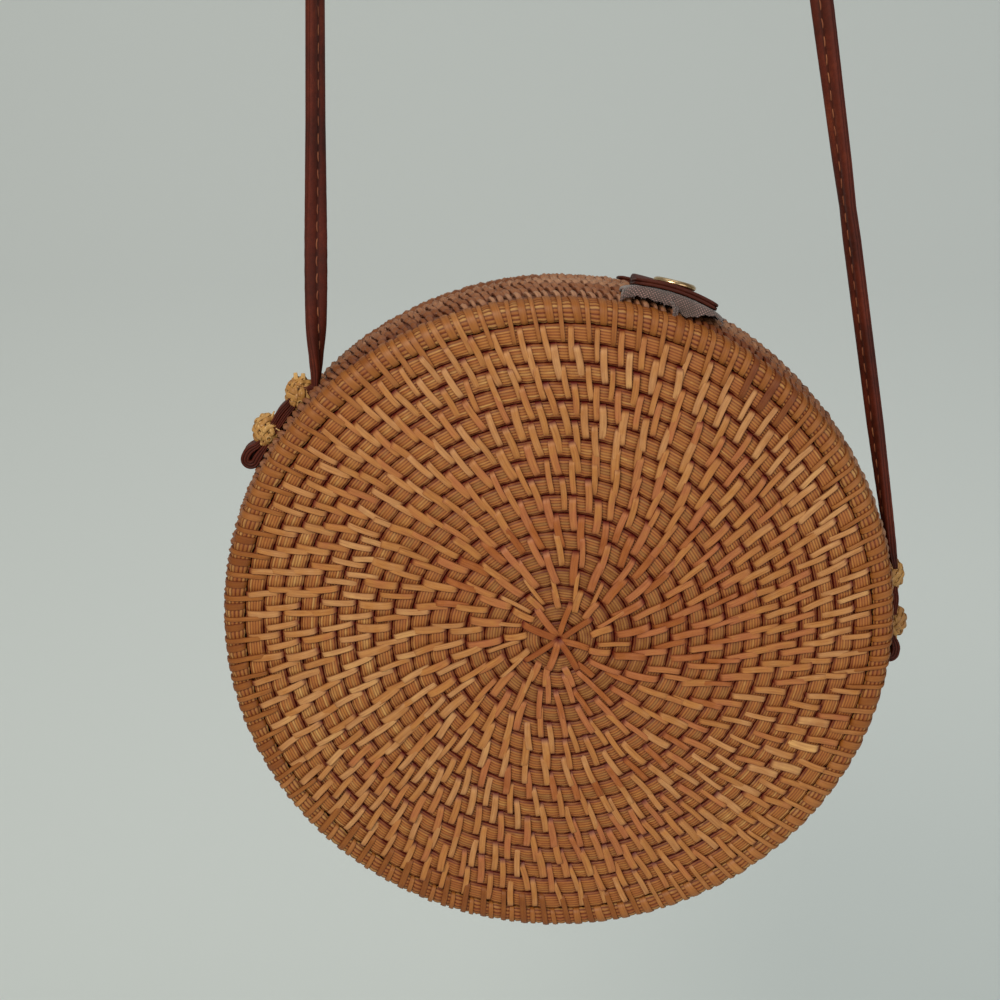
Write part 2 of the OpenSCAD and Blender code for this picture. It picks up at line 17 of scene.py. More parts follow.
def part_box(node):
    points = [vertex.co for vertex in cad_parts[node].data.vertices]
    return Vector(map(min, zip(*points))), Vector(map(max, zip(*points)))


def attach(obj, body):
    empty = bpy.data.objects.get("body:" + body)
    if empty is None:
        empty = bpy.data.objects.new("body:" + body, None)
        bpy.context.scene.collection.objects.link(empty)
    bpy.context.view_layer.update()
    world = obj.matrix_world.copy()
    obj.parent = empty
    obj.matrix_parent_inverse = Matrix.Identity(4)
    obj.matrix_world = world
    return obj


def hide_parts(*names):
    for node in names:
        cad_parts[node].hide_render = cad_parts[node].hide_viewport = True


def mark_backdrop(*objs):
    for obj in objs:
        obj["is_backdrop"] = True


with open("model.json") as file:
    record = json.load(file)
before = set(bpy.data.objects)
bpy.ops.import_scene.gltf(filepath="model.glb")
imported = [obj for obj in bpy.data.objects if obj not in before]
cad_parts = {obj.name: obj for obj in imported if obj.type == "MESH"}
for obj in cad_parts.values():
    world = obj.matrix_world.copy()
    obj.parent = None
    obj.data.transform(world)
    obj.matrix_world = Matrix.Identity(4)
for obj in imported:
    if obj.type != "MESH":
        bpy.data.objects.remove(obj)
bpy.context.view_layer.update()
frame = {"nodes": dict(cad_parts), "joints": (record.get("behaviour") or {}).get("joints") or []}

# %% [markdown]
# ## Sizes
# Everything is worked out in millimetres and turned to metres at the end. The bag's own frame has its origin on
# the bag's axis in the plane of the front rim, +Y to the back and +Z to the clasp. The construction model says
# where that frame hangs: the lid's hinge gives the tilt, and the front face gives the axis and the radius.

# %% The bag's frame, read from the construction model
MM = 0.001
joints = {j["name"]: j for j in frame["joints"]}
bound = {n: tuple(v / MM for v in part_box(n)) for n in frame["nodes"]}


def middle(node):
    low, high = bound[node]
    return (low + high) / 2


def radius_of(node):
    low, high = bound[node]
    return (high.x - low.x) / 2


hinge_axis = joints["lid_open"]["axis"]
hang_roll = atan2(hinge_axis[2], -hinge_axis[0])
STRAP_Y = 21                      # depth of the strap's middle behind the front rim
bag_centre = Vector((middle("front_face").x, middle("strap_bend").y - STRAP_Y, middle("front_face").z))
BAG = Matrix.Translation(bag_centre) @ Matrix.Rotation(hang_roll, 4, "Y")
IN_METRES = Matrix.Scale(MM, 4)

face_r = radius_of("front_face")
rear_face_r = radius_of("rear_face")
EDGE_W = 6.5                      # width of the border row
MOUTH_W = 5                       # width of the thick row round a mouth
ROW_CREST = 0.4                   # how far the crest of a thick row stands out
SWELL = 0.7                       # how far the wall swells between rim and mouth
rim_r = face_r + EDGE_W
rear_rim_r = rear_face_r + EDGE_W
mouth_r = radius_of("front_mouth_row") - ROW_CREST
front_depth = bound["front_mouth_row"][1].y - bag_centre.y
rear_y = bound["rear_border_row"][1].y - ROW_CREST - bag_centre.y
rear_depth = rear_y - (bound["rear_mouth_row"][0].y - bag_centre.y)
SEAM_Y = front_depth + 0.2        # the two halves meet 0.4 mm apart
ROWS = 17
row_w = face_r / ROWS
front_dome = bag_centre.y - bound["front_face"][0].y
rear_dome = bound["rear_face"][1].y - bag_centre.y - rear_y
print("front rim radius", round(rim_r, 2), "rear rim", round(rear_rim_r, 2), "row width", round(row_w, 2), "mm")
print("depths", round(front_depth, 2), round(rear_depth, 2), "domes", round(front_dome, 2), round(rear_dome, 2))


def wall_radius(rim, depth, behind):
    """The radius of a half's wall at a place behind its rim."""
    u = behind / depth
    return rim + (mouth_r - rim) * u + 4 * SWELL * u * (1 - u)


# %% [markdown]
# ## Small helpers
# A material or a geometry tree is easiest to read when adding a node, setting it and linking it is one line. Each
# tree gets its own `add` for that. Colours are written as people pick them, in sRGB hex, and `colour` turns them
# to the linear values that the renderer works in.

# %% Helpers for colours and nodes
SHORT_NAMES = {"Math": "ShaderNodeMath", "Vector": "ShaderNodeVectorMath"}


def colour(text):
    channels = [int(text[k:k + 2], 16) / 255 for k in (1, 3, 5)]
    return [c / 12.92 if c <= 0.04045 else ((c + 0.055) / 1.055) ** 2.4 for c in channels] + [1]


def plug(tree, socket, value):
    """Fills a socket with a value or a hex colour, or links a node's first output or a socket to it."""
    if isinstance(value, bpy.types.Node):
        value = value.outputs[0]
    if isinstance(value, bpy.types.NodeSocket):
        tree.links.new(value, socket)
    else:
        socket.default_value = colour(value) if isinstance(value, str) and value[:1] == "#" else value


def adder(tree):
    """A tree's `add`: inputs come in order, or by name or number in a dict; a word after the kind is its operation."""
    def add(kind, *given, stops=None, **settings):
        kind, _, operation = kind.partition(" ")
        node = tree.nodes.new(SHORT_NAMES.get(kind, kind))
        if operation:
            node.operation = operation
        for name, value in settings.items():
            setattr(node, name, value)
        for place, value in enumerate(given):
            for key, one in value.items() if isinstance(value, dict) else [(place, value)]:
                plug(tree, node.inputs[key], one)
        if stops:
            for _ in stops[2:]:
                node.color_ramp.elements.new(0.5)
            for element, (place, hexes) in zip(node.color_ramp.elements, stops):
                element.position, element.color = place, colour(hexes)
        return node
    return add


def surface(name):
    """A new material's `add`, and a `finish` that fills its shader's sockets and returns the material."""
    made = bpy.data.materials.new(name)
    made.use_nodes = True
    tree = made.node_tree

    def finish(**sockets):
        for key, value in sockets.items():
            plug(tree, tree.nodes["Principled BSDF"].inputs[key.replace("_", " ")], value)
        return made
    return adder(tree), finish


# %% [markdown]
# ## Meshes and geometry trees
# Every piece is drawn in millimetres and then settled: what its modifiers make of it becomes a plain mesh in metres,
# with its place in it. A geometry tree has named inputs for its sizes, and ends by giving its shape its material.

# %% Helpers for meshes and geometry trees


def new_object(name, mesh):
    made = bpy.data.objects.new(name, mesh)
    bpy.context.scene.collection.objects.link(made)
    return made


def mesh_of(name, points, faces=(), edges=(), attributes=None):
    """A mesh from points in millimetres, with named point attributes."""
    mesh = bpy.data.meshes.new(name)
    mesh.from_pydata([tuple(p) for p in points], list(edges), [tuple(f) for f in faces])
    for key, values in (attributes or {}).items():
        flat = np.array(values, np.float32)
        kind = "FLOAT" if flat.ndim == 1 else "FLOAT_VECTOR"
        mesh.attributes.new(key, kind, "POINT").data.foreach_set("value" if flat.ndim == 1 else "vector", flat.ravel())
    mesh.update()
    return mesh


def settled(source, name, place):
    """The evaluated result of an object's modifiers as a plain object, its place in its mesh, in metres."""
    graph = bpy.context.evaluated_depsgraph_get()
    mesh = bpy.data.meshes.new_from_object(source.evaluated_get(graph), depsgraph=graph)
    mesh.transform(IN_METRES @ place)
    mesh.name = name
    bpy.data.objects.remove(source)
    made = new_object(name, mesh)
    print(f"{name}: {len(mesh.vertices)} points, {sum(len(p.vertices) - 2 for p in mesh.polygons)} triangles")
    return made


def grown(name, mesh, tree, inputs, place):
    """Runs a geometry tree on a mesh, its inputs given by name, and settles the result."""
    source = new_object(name + "_source", mesh)
    modifier = source.modifiers.new("grow", "NODES")
    modifier.node_group = tree
    for item in tree.interface.items_tree:
        if item.item_type == "SOCKET" and item.in_out == "INPUT" and item.name in inputs:
            modifier[item.identifier] = inputs[item.name]
    return settled(source, name, place)


def grid_faces(rings, n, loop=False, ring=True):
    """The faces between rings of n points: `loop` joins the last ring to the first, `ring` closes each of them."""
    return [(j * n + k, j * n + (k + 1) % n, (j + 1) % rings * n + (k + 1) % n, (j + 1) % rings * n + k)
            for j in range(rings if loop else rings - 1) for k in range(n if ring else n - 1)]


def finished(name, mesh, material, place, thickness=0.0):
    """A mesh as a smooth piece of one material; a sheet is given its thickness."""
    mesh.shade_smooth()
    mesh.materials.append(material)
    source = new_object(name + "_source", mesh)
    if thickness:
        thick = source.modifiers.new("thickness", "SOLIDIFY")
        thick.thickness, thick.offset = thickness, 0
    return settled(source, name, place)


def spin(x, y, z):
    return Euler((x, y, z)).to_matrix().to_4x4()


def geometry_tree(name, **sockets):
    """A geometry tree's `add`, its inputs, named and of the given kinds, and a `finish` that takes the last shape."""
    tree = bpy.data.node_groups.new(name, "GeometryNodeTree")
    tree.interface.new_socket("Geometry", in_out="INPUT", socket_type="NodeSocketGeometry")
    for key, kind in sockets.items():
        tree.interface.new_socket(key.replace("_", " "), in_out="INPUT", socket_type="NodeSocket" + kind)
    tree.interface.new_socket("Geometry", in_out="OUTPUT", socket_type="NodeSocketGeometry")
    add = adder(tree)
    given = add("NodeGroupInput").outputs

    def finish(shape):
        smooth = add("GeometryNodeSetShadeSmooth", {"Geometry": shape})
        add("NodeGroupOutput", add("GeometryNodeSetMaterial", {"Geometry": smooth, "Material": given["Material"]}))
        return tree
    return add, given, finish


def dress(piece, body, slot, *nodes):
    """Says which body a piece moves with and hides the nodes that it stands for; `slot` is not used."""
    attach(piece, body)
    if nodes:
        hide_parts(*nodes)
    return piece


# %% [markdown]
# ## Camera
# The photograph was taken from just above and half a metre in front of the bag, looking down on it. Its focal
# length and place were found by fitting the rim, the seam, the clasp and the strap's exits. A camera's picture
# plane is 36 mm wide, so a focal length in pixels turns to millimetres by 36 over the picture's width.

# %% The camera
PICTURE_PX = 1000
FOCAL_PX = 1700
CAMERA_FROM_RIM = Vector((-13.1, -472.8, 188.3))     # from the front rim's middle, along the world's axes
CAMERA_YAW, CAMERA_PITCH = radians(-0.52), radians(17.27)
lens = bpy.data.cameras.new("camera")
lens.sensor_width = 36
lens.lens = lens.sensor_width * FOCAL_PX / PICTURE_PX
lens.clip_start, lens.clip_end = 0.01, 20
camera = new_object("camera", lens)
camera.location = (bag_centre + CAMERA_FROM_RIM) * MM
camera.rotation_euler = Euler((pi / 2 - CAMERA_PITCH, 0, -CAMERA_YAW))
bpy.context.scene.camera = camera
print("camera at", [round(v, 4) for v in camera.location], "lens", round(lens.lens, 1), "mm")

# %% [markdown]
# ## Stage and light
# A pale, plain floor sweeps up into a backdrop in one smooth cove. The light is a large soft panel from above and
# the left, with a gentle fill, so that every strip throws a small soft shadow into the groove beside it.

# %% Floor, backdrop and lamps
# The floor's lighter colour is painted light.
STAGE_COLOUR, FLOOR_LIT_COLOUR = "#c4c9c7", "#d8dedb"
FLOOR_Z, STAGE_TOP, STAGE_BACK, STAGE_FRONT, STAGE_HALF, COVE_R = -1.25, 3.2, 1.6, -3.2, 4.0, 0.9


def paper(name, low, high, rise):
    """Matt paper painted a little lighter on the floor, as painted light, turning to the backdrop's grey over `rise`
    metres.
    """
    add, finish = surface(name)
    height = add("ShaderNodeSeparateXYZ", add("ShaderNodeTexCoord").outputs["Object"]).outputs[2]
    share = add("ShaderNodeMapRange", height, FLOOR_Z, FLOOR_Z + rise)
    return finish(Roughness=0.8, Base_Color=add(
        "ShaderNodeMix", {0: share, 6: low, 7: high}, data_type="RGBA").outputs[2])


def cove():
    steps = 24
    turns = [pi / 2 * k / steps for k in range(steps + 1)]
    line = [(STAGE_FRONT, FLOOR_Z)]
    line += [(STAGE_BACK - COVE_R + COVE_R * sin(a), FLOOR_Z + COVE_R - COVE_R * cos(a)) for a in turns]
    line.append((STAGE_BACK, STAGE_TOP))
    points = [(x, y, z) for y, z in line for x in (-STAGE_HALF, STAGE_HALF)]
    made = new_object("backdrop", mesh_of("backdrop", points, grid_faces(len(line), 2, ring=False)))
    made.data.shade_smooth()
    made.data.materials.append(paper("backdrop paper", FLOOR_LIT_COLOUR, STAGE_COLOUR, 0.5))
    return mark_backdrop(made)


cove()


def lamp(name, place, aim, size, watts, tint):
    made = bpy.data.lights.new(name, "AREA")
    made.shape, made.size, made.size_y, made.energy = "RECTANGLE", size[0], size[1], watts
    made.color = colour(tint)[:3]
    holder = new_object(name, made)
    holder.location = place
    holder.rotation_euler = (Vector(aim) - Vector(place)).to_track_quat("-Z", "Y").to_euler()


BAG_MIDDLE = bag_centre * MM
lamp("key panel", (-0.6, -1.5, 0.55), BAG_MIDDLE, (0.9, 0.7), 34, "#fff4e6")
lamp("fill panel", (1.3, -1.4, -0.2), BAG_MIDDLE, (1.4, 1.2), 11, "#eef4ff")
lamp("top panel", (0.1, 0.5, 1.3), BAG_MIDDLE, (1.4, 1.0), 4, "#ffffff")
world = bpy.data.worlds.new("studio")
bpy.context.scene.world = world
world.use_nodes = True
world.node_tree.nodes["Background"].inputs["Color"].default_value = colour("#dfe6e6")
world.node_tree.nodes["Background"].inputs["Strength"].default_value = 0.5
bpy.context.scene.view_settings.view_transform = "Standard"

# %% [markdown]
# ## Rattan
# Rattan is a climbing palm. Its skin is split into flat, shiny strips, and its core into round reeds. Both were
# smoked over a fire, which gives the golden to red-brown mix. The grooves are darker by painted shade: a `depth`
# attribute mixes in a dark groove colour where a piece dips or lies hidden. Every strip and reed is a different
# cane, so each carries a random number, its tone, and the material turns that into its own brown. `lay` is the
# place on a strip along and across it, in millimetres, so that the fibres run with it; its third part runs from
# -1 to 1 across the strip, since painted shade darkens a strip along its two edges.

# %% Rattan materials


def cane(name, stops, groove, fibre_mm, roughness, coat=0.0):
    """Split or round cane: its own tone picks the brown, fine fibres run along `lay`, and its edges and the sunk places
    that `depth` marks get painted shade in the groove colour.
    """
    add, finish = surface(name)
    lay, tone, depth = (add("ShaderNodeAttribute", attribute_name=key).outputs[output]
                        for key, output in (("lay", "Vector"), ("tone", "Fac"), ("depth", "Fac")))
    seed = add("Math MULTIPLY", tone, 211.0)
    stretched = add("Vector MULTIPLY", lay, (0.06 / fibre_mm, 1 / fibre_mm, 1))
    fibres = add("ShaderNodeTexNoise", {"Vector": stretched, "W": seed, "Scale": 1.0, "Detail": 3.0,
                                        "Roughness": 0.6}, noise_dimensions="4D")
    patches = add("ShaderNodeTexNoise", {"Vector": add("ShaderNodeTexCoord").outputs["Object"], "Scale": 14.0,
                                         "Detail": 1.0})             # smoke stains about 70 mm across
    blotch = add("ShaderNodeTexNoise", {"Vector": lay, "W": seed, "Scale": 0.22, "Detail": 2.0},
                 noise_dimensions="4D")                              # and 5 mm blotches of each strip's own
    own = add("Math ADD", add("Math MULTIPLY_ADD", tone, 0.72, -0.2),
              add("Math MULTIPLY", add("Math ADD", patches, blotch), 0.42))
    shade = add("ShaderNodeValToRGB", own, stops=stops)
    between = add("ShaderNodeMix", {0: 0.55, 6: shade, 7: groove}, data_type="RGBA").outputs[2]
    streak = add("ShaderNodeMapRange", fibres, 0.38, 0.66, 0.0, 0.62)
    side = add("Math ABSOLUTE", add("ShaderNodeSeparateXYZ", lay).outputs[2])
    # Painted shade: the two edges of a strip and the places that `depth` marks as sunk are mixed towards the groove
    # colour.
    rim = add("ShaderNodeMapRange", side, 0.7, 1.0, 0.0, 0.5, interpolation_type="SMOOTHSTEP")
    sunk = add("ShaderNodeMapRange", depth, 0.1, 1.35)
    for share, darker in ((streak, between), (rim, groove), (sunk, groove)):
        shade = add("ShaderNodeMix", {0: share, 6: shade, 7: darker}, data_type="RGBA").outputs[2]
    return finish(
        Base_Color=shade, Specular_IOR_Level=0.28, Coat_Weight=coat,
        Roughness=add("ShaderNodeMapRange", {0: fibres, 3: roughness - 0.07, 4: roughness + 0.12}),
        Normal=add("ShaderNodeBump", {"Height": fibres, "Strength": 0.5, "Distance": 0.06 * MM}))


PEEL_STOPS = [(0.0, "#4a1c02"), (0.12, "#79390c"), (0.32, "#8e4f1b"), (0.46, "#9c5d33"), (0.62, "#a06931"),
              (0.8, "#ac7b4b"), (1.0, "#c09358")]
CORE_STOPS = [(0.0, "#5c2f06"), (0.25, "#81531a"), (0.45, "#966832"), (0.62, "#9c5f28"), (0.8, "#a36b2e"),
              (1.0, "#c09454")]
WALL_STOPS = [(0.0, "#4a1c04"), (0.4, "#71411e"), (0.7, "#8d6041"), (1.0, "#ac8466")]
# The peel has a low sheen along its fibres. The core has no skin, so it is duller and drinks up more smoke. The
# wall's peel is rubbed by hands, which leaves it greyer and matt.
# The last colour of each is the groove colour: painted shade for grooves, sunk places and edges; half of it also
# darkens the fibre lines.
peel = cane("split rattan peel, smoked", PEEL_STOPS, "#500a00", 0.4, 0.52)
core = cane("round rattan core reed, smoked", CORE_STOPS, "#4e0a00", 0.34, 0.6)
wall_peel = cane("split rattan peel, dulled by handling", WALL_STOPS, "#400800", 0.4, 0.58)

# %% [markdown]
# ## Where the strips go
# Each strip ties two neighbouring rows together. The weaver pushes it through between the strips of the row
# before, so the strips of neighbouring rows lie like bricks, and because the rows get longer outwards, now and
# then two strips share one gap. Doing just that, row by row, gives the real bag's swirling pattern by itself.

# %% Angles of the strips, row by row
STRIP_PITCH = 6.9                 # along the row, between two strips of the same series
FIRST_SERIES, FIRST_STRIPS = 2, 13    # the row that the first series lies over, and its strips
FIRST_START = 1.62                # where they start, in rows from the middle, under the centre's own strips
STRIP_SEED = 11
LAG = 0.43                        # where in the gap a strip lies: nearer to the strip before it
STRIP_LEAN = 0.19                 # every strip leans the same way, as the weaver pulls it


def next_series(before, radius, pitch, rng):
    """Angles of the next row's strips: one in each gap of the row before, and two where the row has grown."""
    wanted = max(len(before), round(tau * radius / pitch))
    extra = wanted - len(before)
    start = rng.random()
    doubled = {floor((start + k / extra) % 1 * len(before)) for k in range(extra)} if extra else set()
    angles = []
    for k, a in enumerate(before):
        gap = (before[(k + 1) % len(before)] - a) % tau
        shares = (LAG - 0.17, LAG + 0.29) if k in doubled else (LAG,)
        angles += [a + gap * s for s in shares]
    n = len(angles)
    for _ in range(6):                # the gaps even out as the weaver goes
        spread = [(angles[(k + 1) % n] - angles[k - 1]) % tau / 2 for k in range(n)]
        angles = [0.45 * angles[k] + 0.55 * (angles[k - 1] + spread[k]) if k else angles[k] for k in range(n)]
    return [(a + rng.gauss(0, 0.18) / radius) % tau for a in angles]


def canes(count, rng):
    """The tone and width of each strip: one long cane makes a run of strips, so neighbours are alike."""
    made = []
    while len(made) < count:
        tone, wide = rng.betavariate(4.0, 3.4), max(0.62, min(1.35, rng.gauss(1.02, 0.14)))
        if rng.random() < 0.035:      # now and then an old, dark cane
            tone, wide = 0.03, 1.15
        for _ in range(3 if tone < 0.05 else rng.randint(7, 26)):
            made.append((max(0, min(1, tone + rng.gauss(0, 0.05))), wide * rng.gauss(1, 0.06)))
    return made[:count]


def face_series(rows, seed):
    """For each series of strips on a face: the radii of its two ends, and its angles."""
    rng = random.Random(seed)
    made = []
    angles = sorted(rng.uniform(-0.12, 0.12) + tau * k / FIRST_STRIPS for k in range(FIRST_STRIPS))
    made.append((FIRST_START * row_w, (FIRST_SERIES + 1) * row_w, angles))
    for n in range(FIRST_SERIES + 1, rows):
        angles = sorted(next_series(angles, n * row_w, STRIP_PITCH, rng))
        made.append(((n - 1) * row_w, (n + 1) * row_w, angles))
    return made


front_series = face_series(ROWS, STRIP_SEED)
print("strips on the front face:", sum(len(s[2]) for s in front_series), "in", len(front_series), "series")

# %% [markdown]
# ## A laid strip
# One geometry tree lays every strip of the bag. It makes a flat bar from a few dozen faces, crowns it, lets its
# ends dive into the grooves and bows it a little, and puts a copy at each point of a mesh. The points carry each
# strip's aim, its stretch and its tone as attributes, which Realize Instances hands on to the strip's own points.

# %% The tree that lays strips


def crisp(add, shape):
    """Marks the edges between a strip's flat and its cut sides, so that they don't shade as round."""
    sharp = add("Math GREATER_THAN", add("GeometryNodeInputMeshEdgeAngle"), 0.8)
    return add("GeometryNodeSetShadeSmooth", {"Geometry": shape, "Selection": sharp, "Shade Smooth": False},
               domain="EDGE")


def strip_tree():
    add, given, finish = geometry_tree(
        "laid strips", Length="Float", Width="Float", Thickness="Float", Dive="Float", Dive_power="Float",
        Crown="Float", Bow="Float", Taper="Float", Material="Material")
    size = add("ShaderNodeCombineXYZ", given["Length"], given["Width"], given["Thickness"])
    shape = add("GeometryNodeMeshCube", {"Size": size, "Vertices X": 11, "Vertices Y": 3, "Vertices Z": 2})
    x, y, z = add("ShaderNodeSeparateXYZ", add("GeometryNodeInputPosition")).outputs
    along, across = (add("Math DIVIDE", part, add("Math MULTIPLY", given[key], 0.5))
                     for part, key in ((x, "Length"), (y, "Width")))
    reach = add("Math ABSOLUTE", along)
    fall = add("Math MULTIPLY", add("Math POWER", reach, given["Dive power"]), given["Dive"])
    crown = add("Math MULTIPLY", add("Math MULTIPLY", across, across), given["Crown"])
    height = add("Math SUBTRACT", add("Math SUBTRACT", z, fall), crown)
    bow = add("Math MULTIPLY", add("Math SUBTRACT", 0.5, add("Math MULTIPLY", along, along)), given["Bow"])
    narrowed = add("Math SUBTRACT", 1.0, add("Math MULTIPLY", add("Math POWER", reach, 4.0), given["Taper"]))
    moved = add("ShaderNodeCombineXYZ", x, add("Math ADD", add("Math MULTIPLY", y, narrowed), bow), height)
    # The ends that dive into the grooves carry `depth`, which paints shade on them.
    for key, kind, value in (("lay", "FLOAT_VECTOR", add("ShaderNodeCombineXYZ", x, y, across)),
                             ("depth", "FLOAT", fall)):
        shape = add("GeometryNodeStoreNamedAttribute", {"Geometry": shape, "Name": key, "Value": value},
                    data_type=kind)
    aim, stretch = (add("GeometryNodeInputNamedAttribute", {"Name": key}, data_type="FLOAT_VECTOR")
                    for key in ("aim", "stretch"))
    laid = add("GeometryNodeInstanceOnPoints", {
        "Points": given["Geometry"], "Rotation": add("FunctionNodeEulerToRotation", aim), "Scale": stretch,
        "Instance": add("GeometryNodeSetPosition", {"Geometry": crisp(add, shape), "Position": moved})})
    return finish(add("GeometryNodeRealizeInstances", laid))


STRIPS = strip_tree()
SPLIT_REED = {"Length": 11.0, "Width": 1.88, "Thickness": 0.45, "Dive": 1.5, "Dive power": 10.0, "Crown": 0.08,
              "Bow": 0.3, "Taper": 0.12}


def lay_strips(name, places, shape, material, place):
    """Lays one strip at each (matrix, stretch, tone)."""
    mesh = mesh_of(name, [m.to_translation() for m, _, _ in places], attributes={
        "aim": [tuple(m.to_euler()) for m, _, _ in places],
        "stretch": [s for _, s, _ in places], "tone": [t for _, _, t in places]})
    return grown(name, mesh, STRIPS, {**shape, "Material": material}, place)


# %% [markdown]
# ## The coiled reeds
# Under the strips lie the rows themselves: bundles of seven fine reeds. Each row is a ring whose section is a
# corrugated ribbon. The tree bends the rows over the dome, and Geometry Proximity to the strips' middle lines
# tells it where a strip presses the bundle down; between strips the bundle swells.

# %% The tree that coils a face
REEDS_PER_ROW = 7
REED_RISE = 0.2                   # height of one reed over the valleys beside it
ROW_ROUND = 0.95                  # how far a row's edges fall below its crest
BUNDLE_T = 2.7                    # thickness of a bundle
# The shade numbers in a row's section are painted shade: the valleys between reeds and the row's falling edges.
VALLEY_SHADE = 0.95               # how dark the line between two reeds is


def bundle_section():
    """The section of a row, anticlockwise: places across it, depths below its crest, and the painted shade of each."""
    top = []
    for k in range(2 * REEDS_PER_ROW + 1):
        u = k / REEDS_PER_ROW - 1
        valley = k % 2 == 0
        edge = ROW_ROUND * abs(u) ** 6
        top.append((u * row_w / 2, edge + 0.12 * u * u + REED_RISE * valley, VALLEY_SHADE * valley + 1.3 * edge))
    section = [(row_w / 2, BUNDLE_T, 2)] + top[::-1] + [(-row_w / 2, BUNDLE_T, 2)]
    across, below, shade = zip(*section)
    return new_object("bundle section", mesh_of(
        "bundle section", [(a, -d, 0) for a, d in zip(across, below)],
        edges=[(k, (k + 1) % len(section)) for k in range(len(section))],
        attributes={"across": across, "below": below, "shade": shade}))


def coil_tree():
    add, given, finish = geometry_tree(
        "coiled rows", Rows="Int", Row_width="Float", Step="Float", Dome="Float", Dome_radius="Float",
        Press="Float", Bulge="Float", Section="Object", Material="Material")
    ring_r = add("Math MULTIPLY", add("Math ADD", add("GeometryNodeInputIndex"), 0.5), given["Row width"])
    rings = add("GeometryNodeRealizeInstances", add("GeometryNodeInstanceOnPoints", {
        "Points": add("GeometryNodePoints", {"Count": given["Rows"]}),
        "Instance": add("GeometryNodeCurvePrimitiveCircle", {"Resolution": 96, "Radius": 1.0}),
        "Scale": add("ShaderNodeCombineXYZ", ring_r, ring_r, ring_r)}))
    line = add("GeometryNodeResampleCurve", {"Curve": rings, "Length": given["Step"]}, mode="LENGTH")
    place = add("GeometryNodeInputPosition")
    for key, value in (("ring", add("Vector LENGTH", place).outputs["Value"]),
                       ("run", add("GeometryNodeSplineParameter").outputs["Length"])):
        line = add("GeometryNodeStoreNamedAttribute", {"Geometry": line, "Name": key, "Value": value},
                   data_type="FLOAT")
    section = add("GeometryNodeObjectInfo", {"Object": given["Section"]}).outputs["Geometry"]
    tube = add("GeometryNodeCurveToMesh", {"Curve": line, "Profile Curve": add("GeometryNodeMeshToCurve", section)})
    across, below, shade, ring, run = (add("GeometryNodeInputNamedAttribute", {"Name": key}, data_type="FLOAT")
                                       for key in ("across", "below", "shade", "ring", "run"))
    outward = add("Vector NORMALIZE", add("Vector MULTIPLY", place, (1, 1, 0)))
    radius = add("Math ADD", ring, across)
    near = add("GeometryNodeProximity", {
        "Target": given["Geometry"], "Source Position": add("Vector SCALE", outward, {"Scale": radius})},
        target_element="EDGES").outputs["Distance"]
    free = add("ShaderNodeMapRange", near, 0.7, 1.8, interpolation_type="SMOOTHSTEP")
    swell = add("ShaderNodeMapRange", free, {3: add("Math MULTIPLY", given["Press"], -1.0), 4: given["Bulge"]})
    share = add("Math DIVIDE", radius, given["Dome radius"])
    dome = add("Math MULTIPLY", add("Math SUBTRACT", 1.0, add("Math MULTIPLY", share, share)), given["Dome"])
    height = add("Math ADD", add("Math SUBTRACT", dome, below), swell)
    spread = add("Math MULTIPLY", add("Math MULTIPLY", across, free), 0.05)
    wide = add("Vector SCALE", outward, {"Scale": add("Math ADD", radius, spread)})
    from_edge = add("Math MULTIPLY_ADD", given["Row width"], 0.5, add("Math MULTIPLY", across, 0.998))
    reed_w = add("Math DIVIDE", given["Row width"], float(REEDS_PER_ROW))
    reed = add("ShaderNodeCombineXYZ", add("Math FLOOR", add("Math DIVIDE", from_edge, reed_w)),
               add("Math FLOOR", ring))
    own = add("ShaderNodeTexWhiteNoise", {"Vector": reed}, noise_dimensions="3D").outputs["Value"]
    # `depth` is painted shade: the valleys between reeds and the rows' edges from the section, and more on the reeds
    # beside a strip.
    for key, kind, value in (
            ("lay", "FLOAT_VECTOR", add("ShaderNodeCombineXYZ", add("Math MULTIPLY_ADD", ring, 37.0, run), across)),
            ("tone", "FLOAT", add("Math MULTIPLY_ADD", own, 0.62, add("Math MULTIPLY", share, 0.38))),
            ("depth", "FLOAT", add("Math SUBTRACT", add("Math ADD", shade, 0.3), add("Math MULTIPLY", free, 0.3)))):
        tube = add("GeometryNodeStoreNamedAttribute", {"Geometry": tube, "Name": key, "Value": value},
                   data_type=kind)
    lifted = add("Vector ADD", wide, add("ShaderNodeCombineXYZ", {2: height}))
    return finish(add("GeometryNodeSetPosition", {"Geometry": tube, "Position": lifted}))


COIL = coil_tree()
SECTION = bundle_section()

# %% [markdown]
# ## The two faces
# A face is drawn flat, with its outside up, and then stood up: the front one facing the viewer, the rear one
# facing away. Both use the same trees with their own radius, dome and random seed.

# %% Faces of reeds and strips
FRONT_UP = BAG @ Matrix.Rotation(pi / 2, 4, "X")
REAR_UP = BAG @ Matrix.Translation((0, rear_y, 0)) @ Matrix.Rotation(pi, 4, "Z") @ Matrix.Rotation(pi / 2, 4, "X")


def on_dome(radius, angle, slant, rise, dome, dome_r, roll):
    """The place and aim of a strip at a radius and angle of a domed face."""
    tilt = atan2(2 * dome * radius / dome_r ** 2, 1)
    height = dome * (1 - (radius / dome_r) ** 2) + rise
    return Matrix.Translation((radius * cos(angle), radius * sin(angle), height)) @ spin(roll, tilt, angle + slant)


